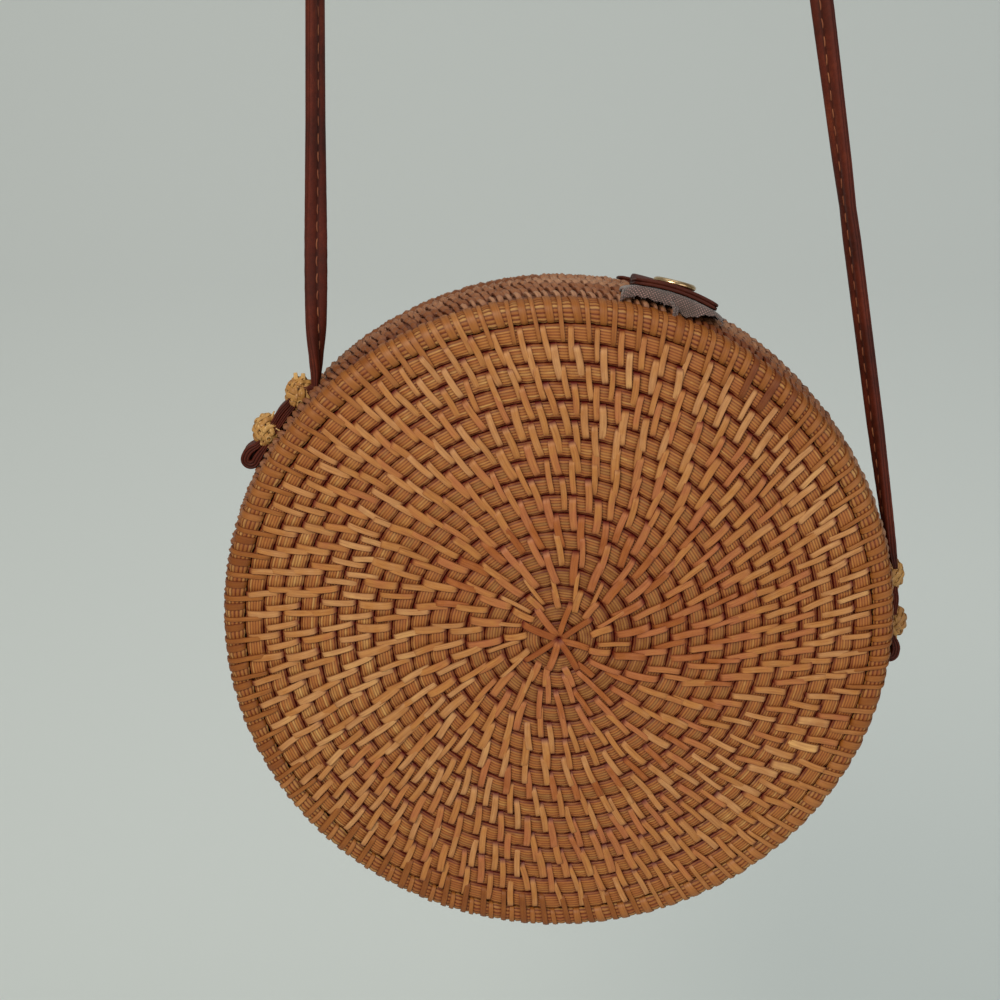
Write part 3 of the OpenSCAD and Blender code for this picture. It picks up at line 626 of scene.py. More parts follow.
def face_strips(series, dome, dome_r, rng):
    """Places of all the strips of a face, and the ends of their middle lines."""
    places, ends = [], []
    for low, high, angles in series:
        lean = STRIP_LEAN + rng.gauss(0, 0.02)
        middle_r = (low + high) / 2
        for a, (tone, wide) in zip(angles, canes(len(angles), rng)):
            slant = lean + rng.gauss(0, 0.045) + (pi if rng.random() < 0.3 else 0)
            stretch = ((high - low) / (2 * row_w) * rng.gauss(1, 0.02), wide, rng.uniform(0.85, 1.1))
            m = on_dome(middle_r, a, slant, 0.3 + rng.gauss(0, 0.05), dome, dome_r, rng.gauss(0.03, 0.05))
            places.append((m, stretch, tone + 0.3 * (middle_r / dome_r - 0.62)))
            step = Vector((cos(a + slant), sin(a + slant), 0)) * (high - low) / 2
            at = Vector((middle_r * cos(a), middle_r * sin(a), 0))
            ends.append((at - step, at + step))
    return places, ends


def centre_strips(dome, dome_r, rng):
    """The eight strips that start the coil, side by side at its middle."""
    places, ends = [], []
    count, inner, outer = 8, 0.4, 11.6
    for k in range(count):
        a = tau * k / count + rng.gauss(0, 0.09)
        reach = outer * rng.uniform(0.86, 1.1)
        m = on_dome((inner + reach) / 2, a, rng.gauss(0, 0.04), 0.42 + 0.05 * k, dome, dome_r, rng.gauss(0, 0.05))
        places.append((m, ((reach - inner) / (2 * row_w), rng.uniform(0.9, 1.15), 0.8), rng.uniform(0.02, 0.3)))
        way = Vector((cos(a), sin(a), 0))
        ends.append((way * inner, way * reach))
    return places, ends


def lines_mesh(name, ends):
    points = [p for pair in ends for p in pair]
    return mesh_of(name, points, edges=[(2 * k, 2 * k + 1) for k in range(len(ends))])


def dress_face(side, node, body, dome, face_radius, place, seed):
    rows = round(face_radius / row_w)
    rng = random.Random(seed)
    series = front_series if side == "front" else face_series(rows, seed)
    places, ends = face_strips(series, dome, face_radius, rng)
    start_places, start_ends = centre_strips(dome, face_radius, rng)
    coil = grown(side + "_face_reeds", lines_mesh("strip lines", ends + start_ends), COIL, {
        "Rows": rows, "Row width": face_radius / rows, "Step": 1.3, "Dome": dome, "Dome radius": face_radius,
        "Press": 0.3, "Bulge": 0.22, "Section": SECTION, "Material": core}, place)
    dress(coil, body, "reed", node)
    dress(lay_strips(side + "_face_strips", places + start_places, SPLIT_REED, peel, place), body, "reed")
    return series[-1][2]


last_front_angles = dress_face("front", "front_face", "bag", front_dome, face_r, FRONT_UP, STRIP_SEED)
last_rear_angles = dress_face("rear", "rear_face", "lid", rear_dome, rear_face_r, REAR_UP, STRIP_SEED + 1)

# %% [markdown]
# ## Strips over a curve
# The border, the walls and the mouths are rows too, but they turn a corner. There a strip follows a section: a
# line drawn from the rim over the corner and down the wall. The tree puts a small bar at the origin for every
# strip, and then moves its points: Sample Curve says where the section is, and each strip's own turn swings it
# round the bag's axis. A lean shifts its far end along the row.

# %% The tree that wraps strips over a section


def wrap_tree():
    add, given, finish = geometry_tree(
        "wrapped strips", Section="Object", Steps="Int", Width="Float", Thickness="Float", Lift="Float",
        Dive="Float", Dive_power="Float", Crown="Float", Taper="Float", Material="Material")
    bar = add("GeometryNodeMeshCube", {"Size": (2, 2, 2), "Vertices X": given["Steps"], "Vertices Y": 3,
                                       "Vertices Z": 2})
    kept = add("GeometryNodeStoreNamedAttribute", {
        "Geometry": crisp(add, bar), "Name": "bar", "Value": add("GeometryNodeInputPosition")},
        data_type="FLOAT_VECTOR")
    shape = add("GeometryNodeRealizeInstances", add("GeometryNodeInstanceOnPoints", {
        "Points": given["Geometry"], "Instance": kept}))
    x, y, z = add("ShaderNodeSeparateXYZ", add(
        "GeometryNodeInputNamedAttribute", {"Name": "bar"}, data_type="FLOAT_VECTOR")).outputs
    turn, lean, wide, raised = (add("GeometryNodeInputNamedAttribute", {"Name": key}, data_type="FLOAT")
                                for key in ("turn", "lean", "wide", "raised"))
    factor = add("Math MULTIPLY_ADD", x, 0.5, 0.5)
    section = add("GeometryNodeMeshToCurve", add(
        "GeometryNodeObjectInfo", {"Object": given["Section"]}).outputs["Geometry"])
    sample = add("GeometryNodeSampleCurve", {"Curves": section, "Factor": factor}, mode="FACTOR")
    at, way = (add("ShaderNodeSeparateXYZ", sample.outputs[key]).outputs for key in ("Position", "Tangent"))
    reach = add("Math ABSOLUTE", x)
    fall = add("Math MULTIPLY", add("Math POWER", reach, given["Dive power"]), given["Dive"])
    crown = add("Math MULTIPLY", add("Math MULTIPLY", y, y), given["Crown"])
    top = add("Math ADD", add("Math MULTIPLY", z, add("Math MULTIPLY", given["Thickness"], 0.5)),
              add("Math ADD", given["Lift"], raised))
    height = add("Math SUBTRACT", top, add("Math ADD", fall, crown))
    radius = add("Math SUBTRACT", at[0], add("Math MULTIPLY", way[1], height))
    level = add("Math ADD", at[1], add("Math MULTIPLY", way[0], height))
    ran = add("Math MULTIPLY", add("Math SUBTRACT", factor, 0.5), add("GeometryNodeCurveLength", section))
    narrowed = add("Math SUBTRACT", 1.0, add("Math MULTIPLY", add("Math POWER", reach, 4.0), given["Taper"]))
    side = add("Math MULTIPLY", add("Math MULTIPLY", y, add("Math MULTIPLY", given["Width"], 0.5)),
               add("Math MULTIPLY", narrowed, wide))
    shifted = add("Math ADD", side, add("Math MULTIPLY", ran, lean))
    angle = add("Math ADD", turn, add("Math DIVIDE", shifted, radius))
    moved = add("ShaderNodeCombineXYZ", add("Math MULTIPLY", radius, add("Math COSINE", angle)),
                add("Math MULTIPLY", radius, add("Math SINE", angle)), level)
    # The ends that dive into the grooves carry `depth`, which paints shade on them.
    for key, kind, value in (("lay", "FLOAT_VECTOR", add("ShaderNodeCombineXYZ", ran, side, y)),
                             ("depth", "FLOAT", fall)):
        shape = add("GeometryNodeStoreNamedAttribute", {"Geometry": shape, "Name": key, "Value": value},
                    data_type=kind)
    return finish(add("GeometryNodeSetPosition", {"Geometry": shape, "Position": moved}))


WRAPS = wrap_tree()
WRAP_KEYS = ("turn", "lean", "wide", "raised", "tone")


def smooth_line(points, times=3):
    """Rounds a line's corners by cutting them, and keeps its ends."""
    for _ in range(times):
        cut = [points[0]]
        for p, q in zip(points, points[1:]):
            cut += [tuple(m * a + n * b for a, b in zip(p, q)) for m, n in ((0.75, 0.25), (0.25, 0.75))]
        points = cut + [points[-1]]
    return points


def wrap_strips(name, wraps, section, shape, material, place):
    """Wraps strips over a section of (radius, height) points; each wrap is a dict of WRAP_KEYS."""
    line = new_object(name + "_section", mesh_of(name + "_section", [(r, z, 0) for r, z in section],
                                                 edges=[(k, k + 1) for k in range(len(section) - 1)]))
    mesh = mesh_of(name, [(0, 0, 0)] * len(wraps), attributes={k: [w[k] for w in wraps] for k in WRAP_KEYS})
    made = grown(name, mesh, WRAPS, {**shape, "Section": line, "Material": material}, place)
    bpy.data.objects.remove(line)
    return made


# %% [markdown]
# ## Turned rows
# What lies under the wraps is turned round the bag's axis from a section, like a pot on a wheel. Where reeds show
# between the strips, the section is corrugated, and it swells between one strip and the next.

# %% Turning a section round the axis


def resampled(line, count):
    """Evenly spaced points of a line with their outward normals."""
    points = np.array(line, float)
    steps = np.hypot(*np.diff(points, axis=0).T)
    run = np.concatenate([[0], np.cumsum(steps)])
    at = np.linspace(0, run[-1], count)
    even = np.stack([np.interp(at, run, points[:, k]) for k in range(2)], 1)
    way = np.gradient(even, axis=0)
    way /= np.hypot(*way.T)[:, None]
    return even, np.stack([-way[:, 1], way[:, 0]], 1), at


def turned(name, line, thick, reeds, rise, steps, material, place, wraps=(), swell=0.0, tone_seed=1, shade=0.15):
    """Turns a line into a closed ring with `reeds` corrugations that swell between the wraps."""
    even, normal, at = resampled(line, 3 * reeds + 1)
    rng = np.random.default_rng(tone_seed)
    reed_tone = 0.55 + 0.45 * rng.beta(3, 3, reeds + 1)
    angle = np.arange(steps) * tau / steps
    sunk = np.where(np.arange(len(at)) % 3 == 0, rise, 0.0)
    height = np.repeat(-sunk[None, :], steps, 0)
    if len(wraps):
        turns, leans = (np.array([w[key] for w in wraps]) for key in ("turn", "lean"))
        for k, (r, _) in enumerate(even):
            shift = angle[:, None] - turns[None, :] - leans[None, :] * (at[k] - at[-1] / 2) / r
            near = np.abs((shift + pi) % tau - pi).min(1) * r
            share = np.clip(near - 0.7, 0, 1)
            height[:, k] += swell * (share * share * (3 - 2 * share) * 2 - 1)
    back, back_normal, _ = resampled(line, 5)
    back = (back - back_normal * thick)[::-1]
    r, z = (np.hstack([even[None, :, k] + normal[None, :, k] * height, np.repeat(back[None, :, k], steps, 0)])
            for k in (0, 1))
    n, seen = r.shape[1], len(at)
    points = np.stack([r * np.cos(angle)[:, None], r * np.sin(angle)[:, None], z], 2).reshape(-1, 3)
    # `depth` is painted shade: the valleys between reeds, the whole ring by `shade`, and the hidden back part fully.
    lay, tone, depth = np.zeros((steps, n, 3)), np.full((steps, n), 0.5), np.full((steps, n), 1.5)
    lay[:, :, 0] = angle[:, None] * even[0, 0]
    lay[:, :seen, 1] = at[None, :]
    tone[:, :seen] = reed_tone[np.arange(seen) // 3][None, :]
    depth[:, :seen] = shade + sunk[None, :] * 3.4
    mesh = mesh_of(name, points, grid_faces(steps, n, loop=True), attributes={
        "lay": lay.reshape(-1, 3), "tone": tone.ravel(), "depth": depth.ravel()})
    return finished(name, mesh, material, place)


# %% [markdown]
# ## The border rows
# Both halves are drawn alike, with the face upwards. The border's strips come over the corner, one long strip that
# also binds the face's last row, then one short one. They are split from a fresher, golden cane. Between them the
# border's own reeds show.

# %% Wraps, and the border of a half
LONG_WRAP = {"Steps": 15, "Width": 1.7, "Thickness": 0.5, "Lift": 0.3, "Dive": 0.5, "Dive power": 10.0, "Crown": 0.12,
             "Taper": 0.2}
SHORT_WRAP = {**LONG_WRAP, "Steps": 12, "Width": 2.15}
LONG_LEAN, SHORT_LEAN = 0.15, 0.17
# The golden stops are the fresh cane's own colour, set a little darker all round as painted shade, since the border's
# lower curve lies in shade.
GOLDEN_STOPS = [(0.0, "#5c2908"), (0.4, "#75400e"), (0.6, "#87501a"), (0.8, "#96602e"), (1.0, "#a9743a")]
golden = cane("split rattan peel, fresh and golden", GOLDEN_STOPS, "#4c0e00", 0.4, 0.5)


def wrapped(turns, lean, unevenness, rng):
    """Wraps at the given turns, each with a tone, a width, a height and a lean of its own."""
    own = [(tone, wide, rng.gauss(0, 0.05)) for tone, wide in canes(len(turns), rng)]
    return [{"turn": a, "lean": lean + rng.gauss(0, unevenness), "tone": tone, "wide": wide, "raised": raised}
            for a, (tone, wide, raised) in zip(turns, own)]


def wall_points(rim, depth, *places):
    """A section's points from (height, how far out from the wall's surface there, how far shifted along it)."""
    return [(wall_radius(rim, depth, -z) + out, z + shift) for z, out, shift in places]


def border_lines(rim, depth, dome):
    """The sections of the short and the long strips: from the groove that each starts in, over the corner."""
    inner, corner = rim - EDGE_W, EDGE_W / 2 - 0.25
    last_z = dome * (1 - ((inner - row_w) / inner) ** 2)
    over = [(inner + 1.6, 0.15)]
    over += [(rim - 0.25 - corner + corner * sin(a), 0.1 - corner + corner * cos(a))
             for a in (pi / 2 * k / 5 for k in range(6))]
    over += wall_points(rim, depth, (-5, -0.25, 0.2), (-6, -0.7, -0.1), (-6.5, -1.5, -0.2))
    return smooth_line([(inner + 0.1, -1.3), (inner + 0.5, -0.1)] + over), smooth_line([
        (inner - row_w + 0.1, last_z - 1.2), (inner - row_w + 0.5, last_z + 0.1),
        (inner - row_w / 2, last_z / 2 + 0.25), (inner - 0.6, 0.3), (inner + 0.6, 0.15)] + over)


def dress_border(side, body, rim, depth, dome, last_angles, place, seed, rng):
    short_line, long_line = border_lines(rim, depth, dome)
    turns = next_series(last_angles, rim - EDGE_W, STRIP_PITCH, rng)
    long_wraps = wrapped(turns, LONG_LEAN, 0.03, rng)
    short_turns = [a + (turns[(k + 1) % len(turns)] - a) % tau * 0.47 for k, a in enumerate(turns)]
    short_wraps = wrapped(short_turns, SHORT_LEAN, 0.04, rng)
    # The border's reeds get more painted shade (0.45) than the faces' reeds.
    reeds = turned(side + "_border_reeds", short_line, 1.6, 10, 0.24, 720, core, place,
                   long_wraps + short_wraps, 0.16, seed, 0.45)
    dress(reeds, body, "reed_border", side + "_border_row")
    for kind, wraps, line, shape in (("long", long_wraps, long_line, LONG_WRAP),
                                     ("short", short_wraps, short_line, SHORT_WRAP)):
        strips = wrap_strips(f"{side}_border_{kind}_strips", wraps, line, shape, golden, place)
        dress(strips, body, "reed_border")


# %% [markdown]
# ## The walls
# A wall's rows are wrapped side by side on a slant, so no reed shows, and the rows' wraps lie like bricks. Every
# second strip is wider, as the real ones alternate. A plain core under them keeps light from shining through; it
# is painted dark, as painted shade for the gaps between the wraps.

# %% The wall of a half
WALL_ROW_W, WALL_PITCH, WALL_LEAN = 5.5, 2.6, 0.36
WALL_WRAP = {"Steps": 9, "Width": 2.05, "Thickness": 0.65, "Lift": 0.35, "Dive": 1.7, "Dive power": 2.8, "Crown": 0.5,
             "Taper": 0.5}


def evenly(count, rng, jitter, start=0.0):
    return [start + tau * (k + rng.gauss(0, jitter)) / count for k in range(count)]


def dress_wall(side, body, rim, depth, place, seed, rng):
    low, high = -EDGE_W, -(depth - MOUTH_W)
    rows = round((low - high) / WALL_ROW_W)
    pitch = (low - high) / rows
    spans = [(low - n * pitch, low - (n + 1) * pitch) for n in range(rows)]
    under = []
    for top, bottom in spans:
        under += [(top, -1.7, 0), (top, -1.1, -0.8), ((top + bottom) / 2, -0.75, 0), (bottom, -1.1, 0.8)]
    under = smooth_line(wall_points(rim, depth, *under, (high, -1.7, 0)), 1)
    # The core's `shade` of 1.0 paints it dark, as the shade in the gaps between the wraps.
    wall = turned(side + "_wall_core", under, 1.2, 4 * rows, 0.0, 360, wall_peel, place, tone_seed=seed, shade=1.0)
    dress(wall, body, "reed_wall", side + "_wall")
    for n, (top, bottom) in enumerate(spans):
        line = smooth_line(wall_points(rim, depth, (top, -1.3, 0.25), (top, -0.35, -0.8), (
            (top + bottom) / 2, 0.1, 0), (bottom, -0.35, 0.8), (bottom, -1.3, -0.25)))
        wraps = wrapped(evenly(round(tau * rim / WALL_PITCH), rng, 0.09, n * 0.013), WALL_LEAN, 0.08, rng)
        for k, wrap in enumerate(wraps):
            wrap["wide"] *= 1.1 if k % 2 else 0.84
            wrap["raised"] *= 2.4
        dress(wrap_strips(f"{side}_wall_wraps_{n + 1}", wraps, line, WALL_WRAP, wall_peel, place), body, "reed_wall")


# %% [markdown]
# ## The mouths
# The row at the mouth is thicker, and it is wrapped all round, since it shows when the bag opens. Here the two
# halves meet, and the border, the wall and the mouth of each are made one after the other.

# %% The mouth of a half, and both halves
MOUTH_WRAP = {**WALL_WRAP, "Steps": 10, "Width": 2.4, "Lift": 0.15, "Dive": 0.5}
MOUTH_LEAN = 0.12


def dress_mouth(side, body, rim, depth, place, seed, rng):
    high, end = -(depth - MOUTH_W), -depth
    halfway = (high + end) / 2
    line = smooth_line(wall_points(rim, depth, (high, -1.2, 0.1)) + [
        (mouth_r - 0.1, high - 0.7), (mouth_r + 0.2, halfway), (mouth_r - 0.1, end + 0.6), (mouth_r - 0.9, end),
        (mouth_r - 2.6, end), (mouth_r - 3.3, end + 0.5), (mouth_r - 3.4, halfway), (mouth_r - 3.2, high)])
    under = [(r - (0.3 if r > mouth_r - 2 else -0.3), z) for r, z in line]
    row = turned(side + "_mouth_core", under, 0.5, 6, 0.0, 300, wall_peel, place, tone_seed=seed)
    dress(row, body, "reed_wall", side + "_mouth_row")
    wraps = wrapped(evenly(round(tau * rim / WALL_PITCH), rng, 0.06), MOUTH_LEAN, 0.03, rng)
    dress(wrap_strips(side + "_mouth_wraps", wraps, line, MOUTH_WRAP, wall_peel, place), body, "reed_wall")


for side, body, rim, depth, dome, last_angles, place, seed in (
        ("front", "bag", rim_r, front_depth, front_dome, last_front_angles, FRONT_UP, 21),
        ("rear", "lid", rear_rim_r, rear_depth, rear_dome, last_rear_angles, REAR_UP, 22)):
    half_rng = random.Random(seed)
    dress_border(side, body, rim, depth, dome, last_angles, place, seed, half_rng)
    dress_wall(side, body, rim, depth, place, seed, half_rng)
    dress_mouth(side, body, rim, depth, place, seed, half_rng)

# %% [markdown]
# ## Leather and thread
# The strap and the flap are cowhide, tanned and dyed a dark red-brown and waxed. Its grain is a net of fine
# creases around small cells, about 0.6 mm across, and handling has polished the high places. A `depth`
# attribute paints shade into the creases between the plies, along the strap's seam and in the loops' hollows,
# and darkens the flap's cut edge. The thread is waxed linen, brown and dull. The knots' straw is undyed, so it is
# the palest thing on the bag, and a thin natural skin gives it a faint gloss.

# %% Leather, thread and straw


def hide(name, dark, body, worn, cell_mm, roughness):
    add, finish = surface(name)
    place = add("ShaderNodeTexCoord").outputs["Object"]
    cells = add("ShaderNodeTexVoronoi", {"Vector": place, "Scale": 1 / (cell_mm * MM)}, feature="DISTANCE_TO_EDGE")
    broad, fine = (add("ShaderNodeTexNoise", {"Vector": place, "Scale": scale, "Detail": detail})
                   for scale, detail in ((60.0, 4.0), (900.0, 3.0)))     # clouds of wax, 17 mm, and grain, 1.1 mm
    crease = add("ShaderNodeMapRange", cells, 0.0, 0.12)
    shade = add("ShaderNodeValToRGB", add("Math MULTIPLY_ADD", broad, 0.75, add("Math MULTIPLY", fine, 0.25)),
                stops=[(0.25, dark), (0.55, body), (0.85, worn)])
    # `depth` is painted shade in the plies' creases, along the seam and in the loops' hollows, and darkens the flap's
    # cut edge.
    edge = add("ShaderNodeAttribute", attribute_name="depth").outputs["Fac"]
    for share in (add("Math MULTIPLY", add("Math SUBTRACT", 1.0, crease), 0.35), edge):
        shade = add("ShaderNodeMix", {0: share, 6: shade, 7: dark}, data_type="RGBA").outputs[2]
    height = add("Math MULTIPLY_ADD", crease, 0.7, add("Math MULTIPLY", fine, 0.5))
    return finish(
        Base_Color=shade, Specular_IOR_Level=0.18,
        Roughness=add("ShaderNodeMapRange", {0: broad, 3: roughness - 0.08, 4: roughness + 0.12}),
        Normal=add("ShaderNodeBump", {"Height": height, "Strength": 0.4, "Distance": 0.08 * MM}))


leather = hide("cowhide, dyed and waxed", "#1f0a04", "#501b0c", "#743318", 0.6, 0.58)
# As for the rattan, the thread's and the straw's last colour is painted shade for grooves and sunk places.
thread = cane("waxed linen thread", [(0.0, "#5e2e1a"), (0.5, "#7c442a"), (1.0, "#99603c")], "#32160c", 0.15, 0.7)
STRAW_STOPS = [(0.0, "#7f5226"), (0.4, "#9c6c36"), (0.75, "#b38547"), (1.0, "#cba569")]
straw = cane("flat straw reed, undyed", STRAW_STOPS, "#4a2a10", 0.22, 0.5, 0.05)

# %% [markdown]
# ## Sweeping a section along a path
# Strap, bands and strands all are one section carried along a path. A station says where the path is, which way
# the section's width and thickness point there, and how much each is scaled.

# %% Sweeps


def sweep(stations, section, closed=False, tone=0.5, sunk=None):
    """Points, faces and attributes of a section of (thickness, width) points along a path of stations, each one
    (place, way of the width, way of the thickness, scale of the width, scale of the thickness)."""
    n, points, lay, run = len(section), [], [], 0.0
    half = max(abs(w) for _, w in section)
    for k, (at, wide, thick, ws, ts) in enumerate(stations):
        run += (at - stations[k - 1][0]).length if k else 0
        points += [at + wide * (w * ws) + thick * (t * ts) for t, w in section]
        lay += [(run, w * ws, w / half) for t, w in section]
    rings = len(stations)
    faces = [(j * n + k, (j + 1) % rings * n + k, (j + 1) % rings * n + (k + 1) % n, j * n + (k + 1) % n)
             for j in range(rings if closed else rings - 1) for k in range(n)]
    if not closed:
        faces += [tuple(range(n)), tuple((rings - 1) * n + k for k in reversed(range(n)))]
    depth = list(sunk or [0] * n) * rings
    return points, faces, lay, [tone] * len(points), depth


def joined(name, parts, material, place=Matrix.Identity(4)):
    """One plain object from several swept parts, its faces turned outwards."""
    points, faces, lay, tone, depth = [], [], [], [], []
    for part in parts:
        start = len(points)
        points += part[0]
        faces += [tuple(start + v for v in f) for f in part[1]]
        for kept, new in zip((lay, tone, depth), part[2:]):
            kept += new
    mesh = mesh_of(name, points, faces, attributes={"lay": [tuple(v) for v in lay], "tone": tone, "depth": depth})
    work = bmesh.new()
    work.from_mesh(mesh)
    bmesh.ops.recalc_face_normals(work, faces=work.faces)
    work.to_mesh(mesh)
    work.free()
    return finished(name, mesh, material, place)


def bar_section(width, thick, round_off=0.3):
    """A flat strip's section: crowned on top, with eased corners."""
    w, t = width / 2, thick / 2
    return [(t, 0), (t * 0.85, w * 0.6), (t * round_off, w), (-t * round_off, w), (-t, w * 0.6), (-t, -w * 0.6),
            (-t * round_off, -w), (t * round_off, -w), (t * 0.85, -w * 0.6)]


def both_halves(half):
    """A whole section from one half of it, which is the same turned round."""
    return half + [(-t, -w) for t, w in half]


def length_of(stations):
    return sum((b[0] - a[0]).length for a, b in zip(stations, stations[1:]))


def headings(places):
    """The way that a path takes at each of its places."""
    return [(q - p).normalized() for p, q in zip(places[:1] + places[:-1], places[1:] + places[-1:])]


# %% [markdown]
# ## The strap
# A strip of cowhide is folded over a core and sewn along its middle, so its faces are two soft ridges with a seam
# between them and its edges show the folded plies. It leaves the wall edge on, turns as it rises, lies flat over
# the peg and comes down again. One sweep makes all of it.

# %% The strap's path
STRAP_W, STRAP_T, PEG_R = 6.6, 2.8, 25
BEND_R = PEG_R + STRAP_T / 2
EXIT_ANGLE = 61.5                 # from the top to where a strand leaves the wall
WALL_SEAT = wall_radius(rim_r, front_depth, STRAP_Y) + 0.15
EXIT_R = WALL_SEAT + 2.7
LEFT_TURNS = [(0, 86), (0.8, 72), (2, 45), (3.2, 30), (4.5, 20), (6, 26), (8, 42), (11, 54), (17, 60), (25, 70),
              (45, 85), (60, 90)]             # (strap widths from the exit, degrees that it has turned)
RIGHT_TURNS = [(0, 90), (1.4, 84), (3, 78), (6, 68), (14.5, 65), (16, 71), (18, 61), (21, 54), (25, 38), (32, 34),
               (48, 75), (62, 90)]
PLY_NOTCH, PLY_LINE = 0.45, 0.47
TAIL = (5.8, 4.2, 2.1)            # the strap runs on below its exit, pinched, and dies away in the wall
ridge = [(0.62, 3.3), (1.05, 3.1), (1.32, 2.6), (1.42, 1.7), (1.3, 0.7), (1.08, 0.3)]
strap_face = ridge + [(1.02, 0)] + [(t, -w) for t, w in ridge[::-1]]
strap_edge = [(PLY_LINE, -3.3 + PLY_NOTCH), (0.3, -3.26), (-0.3, -3.26), (-PLY_LINE, -3.3 + PLY_NOTCH)]
strap_section = both_halves(strap_face + strap_edge)
# `strap_sunk` paints shade into the ply lines and along the seam.
strap_sunk = [0.9 if abs(abs(t) - PLY_LINE) < 0.01 else 0.45 if abs(w) < 0.31 else 0.0 for t, w in strap_section]


def on_wall(angle, radius, y=STRAP_Y):
    """A place in the bag's frame at an angle in degrees from the top, clockwise as the front is seen."""
    return Vector((radius * sin(radians(angle)), y, radius * cos(radians(angle))))


def strand_stations(side, turns):
    start = BAG @ on_wall(side * EXIT_ANGLE, EXIT_R)
    off = atan2(start.z, start.x) + side * np.arccos(BEND_R / hypot(start.x, start.z))
    end = Vector((BEND_R * cos(off), start.y, BEND_R * sin(off)))
    along = (end - start).normalized()
    inward = side * Vector((-along.z, 0, along.x))
    length = (end - start).length
    count = round(length / 1.65)
    stations = []
    for k in range(count + 1):
        ran = length * k / count
        turn = radians(np.interp(ran / STRAP_W, *zip(*turns))) if ran < length - 6 else pi / 2
        wide = inward * cos(turn) + Vector((0, sin(turn), 0))
        thick = inward * sin(turn) - Vector((0, cos(turn), 0))
        scallop = 1 + 0.012 * cos(tau * ran / 5.0)
        stations.append((start + along * ran, wide, thick, scallop, 1 - 0.03 * cos(tau * ran / 5.0)))
    _, wide, thick, _, _ = stations[0]
    tail = [(start - along * t - Vector((0, 0.3 * t, 0)), wide, thick, 1 - 0.07 * t, 1 - 0.06 * t) for t in TAIL]
    return tail + stations, off % tau


left_strand, left_off = strand_stations(-1, LEFT_TURNS)
right_strand, right_off = strand_stations(1, RIGHT_TURNS)
sweep_angle = (left_off - right_off) % tau
bend_steps = 60
bend = []
for k in range(1, bend_steps):
    a = left_off - sweep_angle * k / bend_steps
    out = Vector((cos(a), 0, sin(a)))
    bend.append((out * BEND_R + Vector((0, left_strand[-1][0].y, 0)), Vector((0, 1, 0)), -out, 1, 1))
strap_path = left_strand + bend + right_strand[::-1]
strap = joined("strap_leather", [sweep(strap_path, strap_section, sunk=strap_sunk)], leather)
dress(strap, "strap", "leather", "strap_bend", "strap_left", "strap_right")
print("the strap between its exits is", round(length_of(strap_path)), "mm long")

# %% [markdown]
# ## Stitches
# A saddle stitch goes in and out of the same holes from both sides, so both faces of the strap carry the same row:
# 3 mm of thread on the face and 2 mm hidden. The tree that lays strips lays these too.

# %% Stitches along the strap
STITCH_PITCH = 5.0
SEWN_FROM = 14.0                  # the first stitch lies this far from the end of the path
THREAD = {"Length": 3.4, "Width": 0.45, "Thickness": 0.42, "Dive": 0.55, "Dive power": 4.0, "Crown": 0.2,
          "Bow": 0.35, "Taper": 0.4}


def stitches_along(stations, face, rng):
    places, run, due = [], 0.0, SEWN_FROM
    last = length_of(stations) - SEWN_FROM
    for (a, _, thick, _, _), (b, *_) in zip(stations, stations[1:]):
        step = (b - a).length
        while due <= min(run + step, last):
            along, up = (b - a).normalized(), thick * face
            turn = Matrix((along, up.cross(along), up)).transposed().to_4x4()
            m = Matrix.Translation(a + along * (due - run) + up * 1.22) @ turn @ spin(0, 0, rng.gauss(0, 0.05))
            places.append((m, (rng.gauss(1, 0.04), 1, 1), rng.uniform(0.2, 0.8)))
            due += STITCH_PITCH
        run += step
    return places


stitch_rng = random.Random(5)
stitches = [place for face in (1, -1) for place in stitches_along(strap_path, face, stitch_rng)]
dress(lay_strips("strap_stitches", stitches, THREAD, thread, Matrix.Identity(4)), "strap", "thread")

# %% [markdown]
# ## The strap's ends
# Each end runs down the wall, is pinched flat under two ball knots, turns round in a loop and comes back under
# itself. Between the knots both layers arch up. The path goes through stations like the solid's, rounded.

# %% Ribbons on the wall
UPPER_KNOT, LOWER_KNOT, LOOP_ANGLE = 66.2, 74.7, 80.0
KNOT_R, LAYER_T, ARCH_T, PRESSED_T, LOOP_R = 4.2, 2.7, 2.0, 1.7, 3.05
PRESS_ANGLE = degrees(KNOT_R * 0.9 / WALL_SEAT)
ply_face = [(1.12, 3.22), (1.34, 2.9), (1.42, 2.0), (1.28, 0.4)]
ply_edge = [(0.62, -3.3), (0.46, -2.85), (0.3, -3.3), (-0.3, -3.3), (-0.46, -2.85), (-0.62, -3.3)]
end_section = both_halves(ply_face + [(t, -w) for t, w in ply_face[::-1]] + ply_edge)
# `end_sunk` paints shade into the ply lines.
end_sunk = [1.0 if abs(abs(t) - 0.46) < 0.01 else 0.0 for t, _ in end_section]


